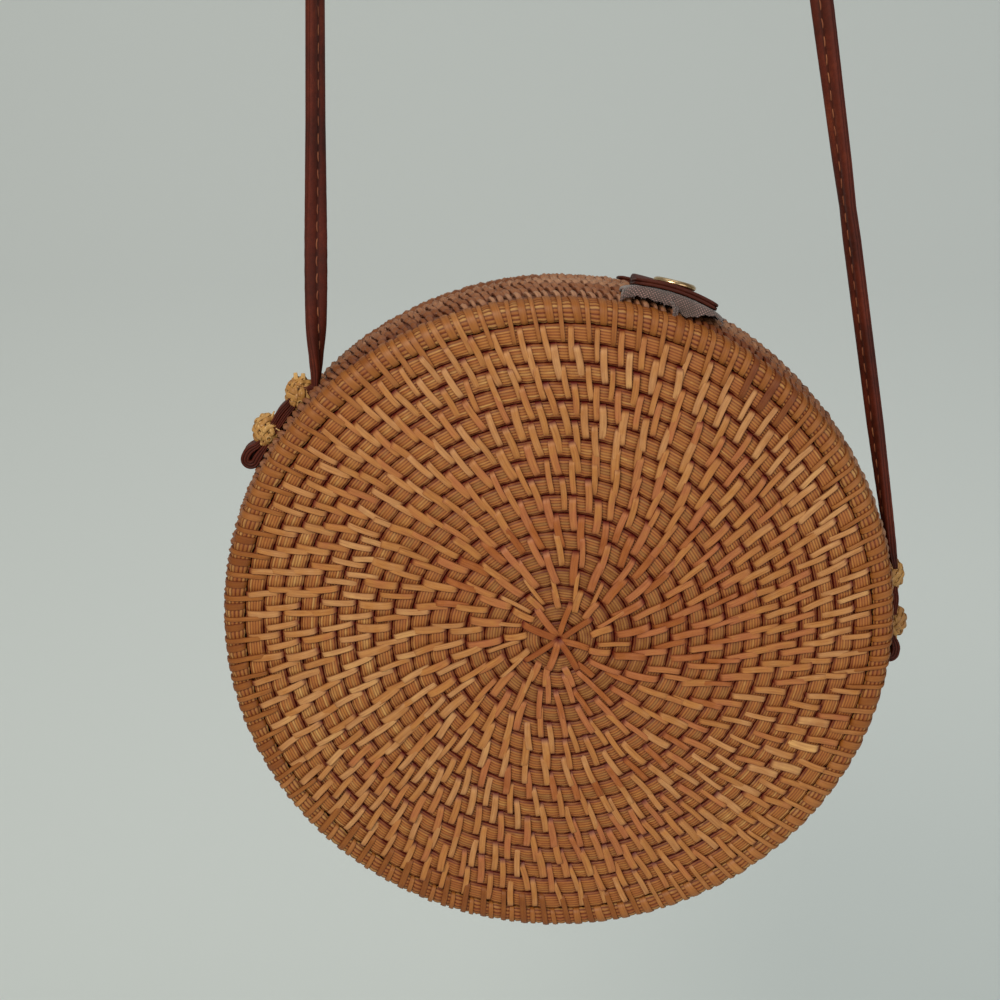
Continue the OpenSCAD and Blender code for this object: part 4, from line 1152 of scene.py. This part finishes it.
def end_line():
    """Stations of (angle, radius, thickness) from the exit to the tip under the exit again."""
    top, low = WALL_SEAT + PRESSED_T * 1.5, WALL_SEAT + PRESSED_T / 2
    upper, lower = WALL_SEAT + 2 * LOOP_R - LAYER_T / 2, WALL_SEAT + LAYER_T / 2
    between, neck = (UPPER_KNOT + LOWER_KNOT) / 2, LOOP_ANGLE - 1.3
    line = [(EXIT_ANGLE + 1.7, WALL_SEAT + 0.2, 1.0), (EXIT_ANGLE + 2.5, WALL_SEAT + 1.0, 1.2),
            (UPPER_KNOT - 0.8, top, PRESSED_T), (UPPER_KNOT + PRESS_ANGLE, top, PRESSED_T),
            (between, WALL_SEAT + ARCH_T * 1.5, ARCH_T), (LOWER_KNOT - PRESS_ANGLE, top, PRESSED_T),
            (LOWER_KNOT + PRESS_ANGLE, top, PRESSED_T), (neck, upper, LAYER_T)]
    for k in range(11):
        a, r = radians(90 - 18 * k), LOOP_R - LAYER_T / 2
        line.append((LOOP_ANGLE + degrees(r * cos(a) / (WALL_SEAT + LOOP_R)), WALL_SEAT + LOOP_R + r * sin(a), LAYER_T))
    line += [(neck, lower, LAYER_T), (LOWER_KNOT + PRESS_ANGLE, low, PRESSED_T),
             (LOWER_KNOT - PRESS_ANGLE, low, PRESSED_T), (between, WALL_SEAT + ARCH_T / 2, ARCH_T),
             (UPPER_KNOT + PRESS_ANGLE, low, PRESSED_T), (UPPER_KNOT - 0.8, low, PRESSED_T),
             (EXIT_ANGLE + 2.5, WALL_SEAT, PRESSED_T), (EXIT_ANGLE + 1.7, WALL_SEAT - 0.8, 1.2)]
    return line


def ribbon(side):
    line = smooth_line(end_line(), 2)
    places = [on_wall(side * a, r) for a, r, _ in line]
    return [(at, Vector((0, 1, 0)), Vector((along.z, 0, -along.x)), 1 + 0.12 * (1 - thick / LAYER_T), thick / STRAP_T)
            for at, along, (_, _, thick) in zip(places, headings(places), line)]


def loop_core(side):
    """The folded-in ply that fills the loop, set back from its edge; it is painted dark, as shade in the loop's hollow.
    """
    section = [(0.75 * cos(tau * k / 14), 2.1 * sin(tau * k / 14) - 0.9) for k in range(14)]
    out = on_wall(side * LOOP_ANGLE, 1, 0)
    along = Vector((side * out.z, 0, -side * out.x))
    at = on_wall(side * LOOP_ANGLE, WALL_SEAT + LOOP_R)
    stations = [(at + Vector((0, y, 0)), along, out, s, s) for y, s in ((-1.6, 0.8), (-1.3, 1), (3.1, 1), (3.3, 0.9))]
    return sweep(stations, section, sunk=[0.8] * 14)


for side, name in ((-1, "left"), (1, "right")):
    parts = [sweep(ribbon(side), end_section, sunk=end_sunk), loop_core(side)]
    dress(joined(f"strap_end_{name}_leather", parts, leather, BAG), "bag", "leather", f"strap_end_{name}")

# %% [markdown]
# ## Ball knots
# Each knot is a monkey's fist of flat straw: three families of bands go round the ball in three directions, and
# each family passes over one of the others and under the third. The radius of a band rises and falls twice per
# turn to do so, with a finer wave over the single bands beside it. The cut ends curl away.

# %% Woven balls
BAND_W, BAND_T, WEAVE_RISE = 1.42, 0.45, 0.3
KNOT_PRESS = {"upper": 3.0, "lower": 1.7}     # how far a knot is pulled into the leather and the wall
KNOT_SHAPE = (1.1, 1.08, 1.32)    # the balls are a little longer upwards
KNOT_SEAT = WALL_SEAT + 0.175 + KNOT_R
WALL_INSIDE = WALL_SEAT - 4.35    # the lining's inner face, through wall, gap and cloth
BAND_OFFSETS = (-2.9, -1.47, 0, 1.47, 2.9)    # of a family's five bands from the ball's middle


def fist(rng, radius=KNOT_R - 0.35):
    """The bands of one ball at the origin."""
    parts = []
    for family in range(3):
        axis = Vector([float(k == family) for k in range(3)])
        over = Vector([float(k == (family + 1) % 3) for k in range(3)])
        under = axis.cross(over)
        for number, offset in enumerate(BAND_OFFSETS):
            shift = offset + rng.gauss(0, 0.1)
            ring = sqrt(radius ** 2 - shift ** 2)
            stations = []
            for k in range(60):
                a = tau * k / 60
                way = over * cos(a) + under * sin(a)
                out = (way * ring + axis * shift).normalized()
                lift = WEAVE_RISE * (0.45 * cos(2 * a) + 0.75 * cos(8 * a + pi * number))
                stations.append((out * (radius + lift), axis - out * axis.dot(out), out, 1, 1))
            parts.append(sweep(stations, bar_section(BAND_W, BAND_T), closed=True, tone=rng.uniform(0.3, 0.95)))
    return parts


def curled_end(at, way, up, length, curl, width, tone):
    """A short strip that leaves a knot and curls."""
    stations, place, heading = [], at.copy(), way.normalized()
    side = heading.cross(up).normalized()
    steps = 9
    for k in range(steps + 1):
        share = k / steps
        stations.append((place.copy(), side, heading.cross(side), 1 - 0.3 * share ** 2, 1 - 0.4 * share))
        heading = (Matrix.Rotation(curl / steps, 3, side) @ heading).normalized()
        place += heading * (length / steps)
    return sweep(stations, bar_section(width, 0.4), tone=tone)


# A ball's core is painted fully dark: it stands for the shade seen between the bands.
def ball_core(radius):
    work = bmesh.new()
    bmesh.ops.create_icosphere(work, subdivisions=3, radius=radius)
    work.verts.ensure_lookup_table()
    part = ([v.co.copy() for v in work.verts], [tuple(v.index for v in f.verts) for f in work.faces],
            [tuple(v.co) for v in work.verts], [0.2] * len(work.verts), [1.2] * len(work.verts))
    work.free()
    return part


def moved_part(part, place):
    return ([place @ Vector(p) for p in part[0]],) + tuple(part[1:])


def disc_stack(profile, steps=28):
    """A small turned piece about Z from (radius, height) points, closed at both ends."""
    points = [Vector((r * cos(tau * k / steps), r * sin(tau * k / steps), z)) for r, z in profile for k in range(steps)]
    faces = grid_faces(len(profile), steps)
    faces += [tuple(reversed(range(steps))), tuple(range(len(points) - steps, len(points)))]
    return points, faces, [tuple(p) for p in points], [0.5] * len(points), [0.0] * len(points)


LOOSE_ENDS = {                    # from the ball's middle in the world's axes: place, way, length, curl, width
    "knot_left_upper": [((-1.0, -1, 4.0), (-0.08, -0.1, 1), 2.8, 0.1, 1.5),
                        ((0.9, -1, 3.9), (0.1, -0.1, 1), 2.8, -0.1, 1.6),
                        ((0.75, -4.8, -2.5), (1, 0, 0.1), 5.2, 6.2, 0.6)],
    "knot_left_lower": [((3.0, -4.2, 1.9), (1, -0.2, -0.6), 3.6, 0.3, 0.55),
                        ((0.4, -4.0, -3.9), (1, -0.3, -0.35), 4.0, -0.3, 0.5),
                        ((1.3, -4.8, -1.9), (1, 0, 0.1), 4.4, 6.2, 0.6), ((1.4, -1, 4.6), (0.5, 0, 1), 2.0, 0.8, 0.6)],
    "knot_right_upper": [((-0.6, -1.5, 4.3), (-0.6, -0.3, 1), 2.2, 1.4, 0.6)],
    "knot_right_lower": [((1.2, -2, -4.2), (0.3, -0.3, -1), 2.0, 1.4, 0.6)],
}


def knot(side, angle, level, node):
    """The parts of one knot: its ball, its loose ends, and its stem through the wall to a clinch inside."""
    rng = random.Random(int(angle * 10) + side)
    upright = Matrix.Rotation(radians(side * angle), 4, "Y") @ Matrix.Translation((0, STRAP_Y, 0))
    to_world = Matrix.Rotation(radians(side * angle) + hang_roll, 4, "Y")
    seat = Vector((0, 0, KNOT_SEAT - KNOT_PRESS[level]))
    stretch = to_world.inverted() @ Matrix.Diagonal((*KNOT_SHAPE, 1)) @ to_world
    own_turn = spin(rng.uniform(0.4, 0.9), rng.uniform(0.3, 0.8), rng.uniform(0, 3))
    place = upright @ Matrix.Translation(seat) @ stretch @ own_turn
    parts = [moved_part(part, place) for part in fist(rng) + [ball_core(KNOT_R - 0.65)]]
    turn = (upright @ to_world.inverted()).to_3x3()
    for at, way, length, curl, width in LOOSE_ENDS[node]:
        base = upright @ (seat + to_world.inverted() @ Vector(at))
        up = turn @ Vector((0, 0.05, 1) if abs(way[2]) < 0.9 else (0, 1, 0))
        parts.append(curled_end(base, turn @ Vector(way), up, length, curl, width, 1.1))
    stem = [(1.0, WALL_INSIDE - 0.2), (1.0, KNOT_SEAT - KNOT_R + 1)]
    clinch = [(r, WALL_INSIDE - z) for r, z in ((1.2, 1.5), (2.1, 1.3), (2.4, 0.9), (2.3, 0.4), (1.2, 0.2))]
    return parts + [moved_part(disc_stack(profile), upright) for profile in (stem, clinch)]


for side, name in ((-1, "left"), (1, "right")):
    for angle, level in ((UPPER_KNOT, "upper"), (LOWER_KNOT, "lower")):
        node = f"knot_{name}_{level}"
        dress(joined(node + "_straw", knot(side, angle, level, node), straw, BAG), "bag", "straw", node)

# %% [markdown]
# ## The clasp's leather
# The flap is two layers of the strap's leather glued back to back and cut through, so its edge shows both layers
# and a rough, dark cut. It leaves its sewn base behind the seam, rises and lies flat over the front half. Each
# layer is a grid that follows the flap's outline and its height over the bag's axis.

# %% Flap and base
FLAP_W, FLAP_T, FLAP_FRONT_Y, FLAP_CORNER_R = 25.4, 2.05, 7, 2
FLAP_AXIS_Y = SEAM_Y + 12.5       # the line that the flap bends along
SNAP_Y = 19


def rear_wall_r(y):
    return wall_radius(rear_rim_r, rear_depth, rear_y - y)


FLAP_AXIS_R = rear_wall_r(FLAP_AXIS_Y) + 0.35 + FLAP_T / 2


def flap_under(y):
    u = min((FLAP_AXIS_Y - y) / ((FLAP_AXIS_Y - FLAP_FRONT_Y) * 0.6), 1)
    return FLAP_AXIS_R - FLAP_T / 2 + 4.5 * (1 - (1 - max(u, 0)) ** 2.6)


FLAP_TILT, FLAP_BOW = 0.185, 0.0045


def flap_sits(y):
    """The flap has been pressed down over the seam, so its front stands up a little."""
    fade = min(1, max(0, (44 - y) / 14))
    return flap_under(y) + FLAP_TILT * (SNAP_Y - y) * fade * fade * (3 - 2 * fade)


def flap_half_width(y):
    back = FLAP_FRONT_Y + FLAP_CORNER_R - y
    corner = sqrt(max(FLAP_CORNER_R ** 2 - max(back, 0) ** 2, 0.4))
    return FLAP_W / 2 - FLAP_CORNER_R + corner - 0.3 - 0.085 * max(0, y - 14)


def layer(y_from, y_to, height, thick, half_width, seed, steps=44, across=26):
    """A closed layer of leather between two depths: its underside at height(x, y), its rim a little rough."""
    rng = random.Random(seed)
    rough = [rng.gauss(0, 0.09) for _ in range(steps + 1)]
    points, sunk = [], []
    for side in (0, 1):
        for j in range(steps + 1):
            share = j / steps
            y = y_from + (y_to - y_from) * (share ** 1.3 if y_from < y_to else share)
            w = half_width(y) + rough[j]
            for k in range(across + 1):
                x = w * sin(pi / 2 * (2 * k / across - 1))
                rim = max(abs(x) / w, 1 - min(j, steps - j) / 3) if w else 1
                ease = 0.14 * max(0, rim - 0.93) / 0.07
                z = height(x, y) + (thick - ease if side else ease)
                points.append((x, y + (rng.gauss(0, 0.07) if j in (0, steps) else 0), z))
                sunk.append(0.5 if rim > 0.93 else 0.0)
    n, m = across + 1, (steps + 1) * (across + 1)
    faces = []
    for j in range(steps):
        for k in range(across):
            a = j * n + k
            faces += [(a, a + n, a + n + 1, a + 1), (m + a, m + a + 1, m + a + n + 1, m + a + n)]
    ring = list(range(n)) + [j * n + across for j in range(1, steps + 1)]
    ring += [steps * n + k for k in reversed(range(across))] + [j * n for j in reversed(range(1, steps))]
    faces += [(a, b, m + b, m + a) for a, b in zip(ring, ring[1:] + ring[:1])]
    return [Vector(p) for p in points], faces, [tuple(p) for p in points], [0.5] * len(points), sunk


def round_axis(radius_at, bow=0.0):
    """A height function whose surface is turned about the bag's axis, and bowed more in front of the seam."""
    return lambda x, y: sqrt(radius_at(y) ** 2 - x * x) - bow * x * x * min(1, max(0, (40 - y) / 10))


def flap_height(lift):
    return round_axis(lambda y: flap_sits(y) + lift + 0.05 * sin(y * 0.9) + 0.03 * sin(y * 2.3), FLAP_BOW)


clearance = min(flap_sits(y) for y in range(29, 40)) - mouth_r - ROW_CREST
print("the flap clears the mouth's crest by", round(clearance, 2), "mm")
CLASP = BAG @ Matrix.Rotation(radians(0.7), 4, "Y")       # it was sewn on a little to the right
half_t = FLAP_T / 2
flap_parts = [layer(FLAP_FRONT_Y - 0.1 * k, FLAP_AXIS_Y, flap_height(half_t * k + 0.03), half_t - 0.06,
                    flap_half_width, 3 + k) for k in (0, 1)]
bend_roll = [(Vector((x, FLAP_AXIS_Y, FLAP_AXIS_R)), Vector((0, 1, 0)), Vector((0, 0, 1)), 1, 1)
             for x in (-9.6, 0, 9.6)]
flap_parts.append(sweep(bend_roll, [(half_t * cos(tau * k / 20), half_t * sin(tau * k / 20)) for k in range(20)]))
flap = dress(joined("clasp_flap_leather", flap_parts, leather, CLASP), "flap", "leather", "clasp_flap")

base_front, base_end = FLAP_AXIS_Y + half_t + 1.7, rear_y - EDGE_W + 0.35
base_parts = [layer(base_front, base_end, round_axis(lambda y, k=k: rear_wall_r(y) + 0.05 + half_t * k), half_t - 0.05,
                    lambda y: FLAP_W / 2 - 0.2 * max(0, 52 - y), 7 + k, steps=12) for k in (0, 1)]
dress(joined("flap_base_leather", base_parts, leather, CLASP), "lid", "leather", "flap_base")
SEWN_Y, SEWN_PITCH = (base_front + base_end) / 2, 6.4
SEWN = {"Length": 4.4, "Width": 0.9, "Thickness": 0.7, "Dive": 0.7, "Dive power": 5.0, "Crown": 0.2, "Bow": 0.0,
        "Taper": 0.3}
turned_in = [Matrix.Rotation(m * SEWN_PITCH / rear_rim_r, 4, "Y") @ Matrix.Translation((0, SEWN_Y, r))
             for m in (-1, 0, 1) for r in (rear_wall_r(SEWN_Y) + FLAP_T + 0.15, rear_wall_r(SEWN_Y) - 4.4)]
base_stitches = lay_strips("flap_base_stitches", [(m, (1, 1, 1), 0.5) for m in turned_in], SEWN, thread, CLASP)
dress(base_stitches, "lid", "thread", "flap_stitches")

# %% [markdown]
# ## The press stud
# Cap, socket, stud and backplate are pressed from brass and steel sheet. The cap is polished, with a rolled rim
# and a faint dish, and it is turned from a section with rounded edges, so that light runs along its rim. The
# other three keep the construction model's shapes and get their metal.

# %% Metals and the cap


def metal(name, hexes, roughness, scratch_mm):
    add, finish = surface(name)
    place = add("ShaderNodeTexCoord").outputs["Object"]
    stain = add("ShaderNodeTexNoise", {"Vector": place, "Scale": 260.0, "Detail": 3.0})    # 4 mm across
    hair = add("ShaderNodeTexNoise", {"Vector": add("ShaderNodeMapping", {0: place, 3: (1, 0.06, 1)}),
                                      "Scale": 1 / (scratch_mm * MM), "Detail": 2.0})
    return finish(
        Metallic=1.0, Base_Color=add("ShaderNodeValToRGB", stain, stops=[(0.3, hexes[0]), (0.7, hexes[1])]),
        Roughness=add("ShaderNodeMapRange", {0: hair, 3: roughness * 0.7, 4: roughness * 1.6}),
        Normal=add("ShaderNodeBump", {"Height": hair, "Strength": 0.12, "Distance": 0.02 * MM}))


# Brass gives a warm, clear highlight with brown stains in it, and nickel a grey and softer one.
brass = metal("brass sheet, pressed and polished", ("#a07c52", "#d2b287"), 0.2, 0.25)
steel = metal("nickel-plated steel, pressed", ("#7d7a74", "#a19e97"), 0.32, 0.25)
CAP_SEAT = flap_under(SNAP_Y) + FLAP_T
cap_profile = smooth_line([
    (0.5, 1.05), (2.2, 1.1), (3.9, 1.45), (4.9, 1.72), (5.7, 1.6), (6.3, 1.15), (6.45, 0.55), (6.1, 0.0),
    (5.4, -0.15), (3, -0.1), (0.5, -0.1)], 2)
cap_place = Matrix.Translation((0, SNAP_Y, CAP_SEAT))
cap_tilt = Matrix.Rotation(radians(-4), 4, "Y") @ Matrix.Rotation(-atan2(FLAP_TILT, 1), 4, "X")
cap_parts = [moved_part(disc_stack(cap_profile, 72), cap_place @ cap_tilt),
             moved_part(disc_stack([(1.2, -3.6), (1.2, 0.4)]), cap_place)]
dress(joined("snap_cap_brass", cap_parts, brass, CLASP), "flap", "brass", "snap_cap")
for node, material in (("snap_stud", brass), ("snap_backplate", steel), ("snap_socket", steel)):
    frame["nodes"][node].data.materials.clear()
    frame["nodes"][node].data.materials.append(material)

# %% [markdown]
# ## The cloth
# A scrap of the lining's cloth lies under the flap to keep the stud off the reeds. It is a plain weave of two
# thread colours, a grey one and a pale pink one, 0.5 mm apart, cut with no hem, so its edge frays. The weave in
# the material follows the cloth's own `lay`, in millimetres: over-and-under cells, each with a round thread.

# %% Woven cloth


def weave(name, warp, weft, shadow, spacing_mm):
    add, finish = surface(name)
    lay = add("ShaderNodeAttribute", attribute_name="lay").outputs["Vector"]
    parts = add("ShaderNodeSeparateXYZ", lay).outputs
    u, v = (add("Math MULTIPLY", parts[k], 1 / spacing_mm) for k in (0, 1))
    over = add("Math FLOORED_MODULO", add("Math ADD", add("Math FLOOR", u), add("Math FLOOR", v)), 2.0)
    hill = add("Math MULTIPLY", *(add("Math POWER", add("Math SINE", add(
        "Math MULTIPLY", add("Math FRACT", way), pi)), 0.6) for way in (u, v)))
    slub, broad = (add("ShaderNodeTexNoise", {"Vector": lay, "Scale": scale, "Detail": detail})
                   for scale, detail in ((0.9, 3.0), (0.16, 2.0)))     # slubs of 1.1 mm, worn places of 6 mm
    pale = add("ShaderNodeMapRange", broad, 0.38, 0.66, 0.25, 1.0)
    yarn = add("ShaderNodeMix", {0: add("Math MULTIPLY", over, pale), 6: warp, 7: weft}, data_type="RGBA").outputs[2]
    lit = add("ShaderNodeMapRange", add("Math MULTIPLY", hill, add("Math ADD", slub, 0.45)), 0.1, 0.8)
    return finish(
        Base_Color=add("ShaderNodeMix", {0: lit, 6: shadow, 7: yarn}, data_type="RGBA").outputs[2],
        Roughness=0.92, Sheen_Weight=0.25,
        Normal=add("ShaderNodeBump", {"Height": hill, "Strength": 0.6, "Distance": 0.2 * MM}))


# Cotton is matt, with a soft light round its edges. The lining was never in the sun, so it is browner and darker.
tab_cloth = weave("plain-woven cotton, grey and pink", "#55463e", "#93716a", "#1a1210", 0.5)
lining_cloth = weave("plain-woven cotton lining", "#5b4a43", "#79675d", "#2b211d", 0.8)
CLOTH_HALF, CLOTH_FOLD_Y, CLOTH_REAR_Y, CLOTH_T = 15, 8.4, 27.6, 0.45
FOLD_R = 2.3                      # the cloth turns down over the flap's front edge
FLAT_RUN = CLOTH_REAR_Y - CLOTH_FOLD_Y


def cloth_drop(x):
    """How far the cloth hangs below its fold: most near the middle."""
    return 0.65 + 1.9 * 2.718 ** -(((x - 3.5) / 4.6) ** 2) + 0.2 * sin(x * 1.9) + 0.15 * sin(x * 4.3 + 1)


def cloth_turn(x):
    """How far the cloth turns over the flap's edge: its right corner sticks out."""
    return radians(86 - 50 * min(1, max(0, (x - 5) / 8)))


def cloth_point(x, run):
    """A point of the cloth at `run` mm from its rear edge, in the bag's frame."""
    y = CLOTH_REAR_Y - min(run, FLAT_RUN)
    droop = (0.14 if x < 0 else 0.05) * max(0, abs(x) - FLAP_W / 2 + 1) ** 2
    z = round_axis(flap_sits, FLAP_BOW)(x, y) - 0.35 - droop
    turn = min(max(0, (run - FLAT_RUN) / FOLD_R), cloth_turn(x))
    hang = max(0, run - FLAT_RUN - FOLD_R * cloth_turn(x))
    soft = 0.4 * sin(x * 0.55 + 1) * min(1, turn)
    curl = (0.16 if x < 3 else -0.02) * hang * hang
    ahead, down = FOLD_R * sin(turn) + hang * cos(turn), FOLD_R * (1 - cos(turn)) + hang * sin(turn)
    return Vector((x, y - ahead + soft + curl, z - down + 0.3 * soft))


def woven_tab():
    across, down = 60, 34
    points, lay = [], []
    for k in range(across + 1):
        x = CLOTH_HALF * (2 * k / across - 1)
        whole = FLAT_RUN + FOLD_R * cloth_turn(x) + cloth_drop(x)
        for j in range(down + 1):
            share = j / down
            run = whole * (1 - (1 - share) ** 1.4)
            ragged = 0.25 * sin(run * 0.8) * (k in (0, across))
            points.append(cloth_point(x + ragged, run))
            lay.append((x, run, 0))
    mesh = mesh_of("cloth tab", points, grid_faces(across + 1, down + 1, ring=False), attributes={"lay": lay})
    return finished("cloth_tab_weave", mesh, tab_cloth, CLASP, CLOTH_T)


tab = dress(woven_tab(), "flap", "cloth", "cloth_tab")
fray_rng = random.Random(8)
fray = []


def hem(x):
    return cloth_point(x, FLAT_RUN + FOLD_R * cloth_turn(x) + cloth_drop(x) - 0.2)


for _ in range(16):
    way = Vector((fray_rng.gauss(0, 0.9), fray_rng.uniform(-0.6, 0.4), -1))
    fray.append(curled_end(hem(fray_rng.uniform(-14.5, 14.5)), way, Vector((0, 1, 0)), fray_rng.uniform(0.3, 1.1),
                           fray_rng.gauss(0, 1.5), 0.28, 0.5))
for x, lean in ((-1.5, 1.0), (-0.8, 0.6), (0.9, 0.2)):
    root = hem(x) + Vector((0, 0, 0.9))
    fray.append(curled_end(root, Vector((lean, -1, -0.1)), Vector((0, 0, 1)), 6.5, -1.9, 0.8, 0.5))
for side in (-1, 1):
    for _ in range(12):
        root = cloth_point(side * (CLOTH_HALF - 0.2), fray_rng.uniform(1, FLAT_RUN + 4))
        fray.append(curled_end(root, Vector((side, fray_rng.gauss(0, 0.4), -0.4)), Vector((0, 0, 1)),
                               fray_rng.uniform(0.5, 1.3), fray_rng.gauss(0, 1), 0.28, 0.5))
fray_threads = dress(joined("cloth_tab_fray", fray, tab_cloth, CLASP), "flap", "cloth")

# %% [markdown]
# ## Linings
# Each half is lined with a cup of cotton: a disc for the face and a strip for the wall, sewn together in the
# corner. Only a little of it is glued, so it has soft folds. The cup is turned from a section whose points are
# pushed in and out by smooth noise that depends on the place round the axis.

# %% Cloth cups
LINING_T = 0.5
INSET = 3.7                       # from a row's outside to the lining's


def dress_lining(side, body, rim, depth, dome, seed):
    place = FRONT_UP if side == "front" else REAR_UP
    inner = rim - EDGE_W - 0.15
    deep = -(depth - MOUTH_W)
    line = [(inner * k / 26, dome * (1 - (k / 26) ** 2) - INSET - 0.1) for k in range(1, 26)]
    line += [(inner - 0.2, -INSET - 0.5), (inner, -INSET - 1.6)]
    line += [(wall_radius(rim, depth, -z) - INSET - 0.35, z) for z in np.linspace(-EDGE_W, deep - 0.6, 12)]
    line.append((line[-1][0] - 0.5, deep - 1.2))
    steps, points, lay, run = 220, [], [], 0.0
    for k, (r, z) in enumerate(line):
        run += hypot(r - line[k - 1][0], z - line[k - 1][1]) if k else r
        for j in range(steps):
            a = tau * j / steps
            fold = noise.noise(Vector((cos(a) * 2.6, sin(a) * 2.6, seed + r / 46))) * 0.5
            fold += noise.noise(Vector((cos(a) * 9, sin(a) * 9, seed + run / 30))) * 0.25
            push = -abs(fold) * min(1, max(0, (r - 20) / 40))
            at_r, at_z = (r + push, z) if r > inner - 1 else (r, z + push)
            points.append((at_r * cos(a), at_r * sin(a), at_z))
            lay.append((run * cos(a), run * sin(a), 0) if r < inner - 1 else (a * rim, run, 0))
    faces = grid_faces(len(line), steps) + [tuple(reversed(range(steps)))]
    mesh = mesh_of(side + "_lining", points, faces, attributes={"lay": lay})
    piece = finished(side + "_lining_cloth", mesh, lining_cloth, place, LINING_T)
    dress(piece, body, "lining", side + "_lining")


dress_lining("front", "bag", rim_r, front_depth, front_dome, 1.3)
dress_lining("rear", "lid", rear_rim_r, rear_depth, rear_dome, 7.7)

# %% [markdown]
# ## The hinge
# A short reed lies along the bottom of the seam. Flat straw is lashed round it and through the mouth rows, turn
# beside turn: two lashings on the front half hold the reed, and one on the rear half turns on it.

# %% Lashings
HINGE_REED_R, HINGE_L, LASH_T, LASH_PITCH = 1.5, 46, 0.9, 1.3
MOUTH_CREST = mouth_r + ROW_CREST
HINGE_DROP = MOUTH_CREST + 0.35 + HINGE_REED_R + LASH_T
FRONT_LASH_W, REAR_LASH_W = 8, 20
FRONT_LASH_X = (REAR_LASH_W + FRONT_LASH_W) / 2 + 0.35
lash_rng = random.Random(31)


def lashing_turn(x, side, width, tone):
    """One turn of straw: from a hole in the mouth row, round the reed and back."""
    mid = HINGE_REED_R + LASH_T / 2 + 0.05
    line = [(side * 3.2, MOUTH_CREST - 1.6), (side * 3.1, MOUTH_CREST + 0.1), (side * 2.5, MOUTH_CREST + 0.55)]
    line += [(side * mid * sin(a), HINGE_DROP - mid * cos(a)) for a in np.linspace(radians(50), radians(340), 16)]
    line += [(side * 0.9, MOUTH_CREST + 0.75), (side * 1.6, MOUTH_CREST + 0.25), (side * 1.9, MOUTH_CREST - 1.4)]
    places = [Vector((x, SEAM_Y + y, -r)) for y, r in smooth_line(line, 1)]
    across = Vector((1, 0, 0))
    stations = [(at, across, along.cross(across), 1, 1) for at, along in zip(places, headings(places))]
    return sweep(stations, bar_section(width, LASH_T * 0.8), tone=tone)


def lashing(name, body, node, spans, side):
    turns = []
    for x, w in spans:
        count = round(w / LASH_PITCH)
        turns += [lashing_turn(x + w * (k + 0.5) / count - w / 2, side, w / count * 0.97, lash_rng.uniform(0.2, 0.9))
                  for k in range(count)]
    dress(joined(name, turns, straw, BAG), body, "straw", node)


lashing("hinge_front_straw", "bag", "hinge_front_lashings",
        [(-FRONT_LASH_X, FRONT_LASH_W), (FRONT_LASH_X, FRONT_LASH_W)], -1)
lashing("hinge_rear_straw", "lid", "hinge_rear_lashing", [(0, REAR_LASH_W)], 1)
reed_places = [(x, 1) for x in np.linspace(-HINGE_L / 2 + 0.5, HINGE_L / 2 - 0.5, 30)]
reed_stations = [(Vector((x, SEAM_Y, -HINGE_DROP)), Vector((0, 1, 0)), Vector((0, 0, 1)), s, s)
                 for x, s in [(-HINGE_L / 2, 0.7)] + reed_places + [(HINGE_L / 2, 0.7)]]
reed_section = [(HINGE_REED_R * cos(tau * k / 18), HINGE_REED_R * sin(tau * k / 18)) for k in range(18)]
dress(joined("hinge_reed_cane", [sweep(reed_stations, reed_section)], core, BAG), "bag", "straw", "hinge_reed")

# %% [markdown]
# ## Tidying up
# The section that the coils were made with isn't part of the bag, so it goes. The dress may only stand proud by a
# little.

# %% Tidy up
bpy.data.objects.remove(SECTION)
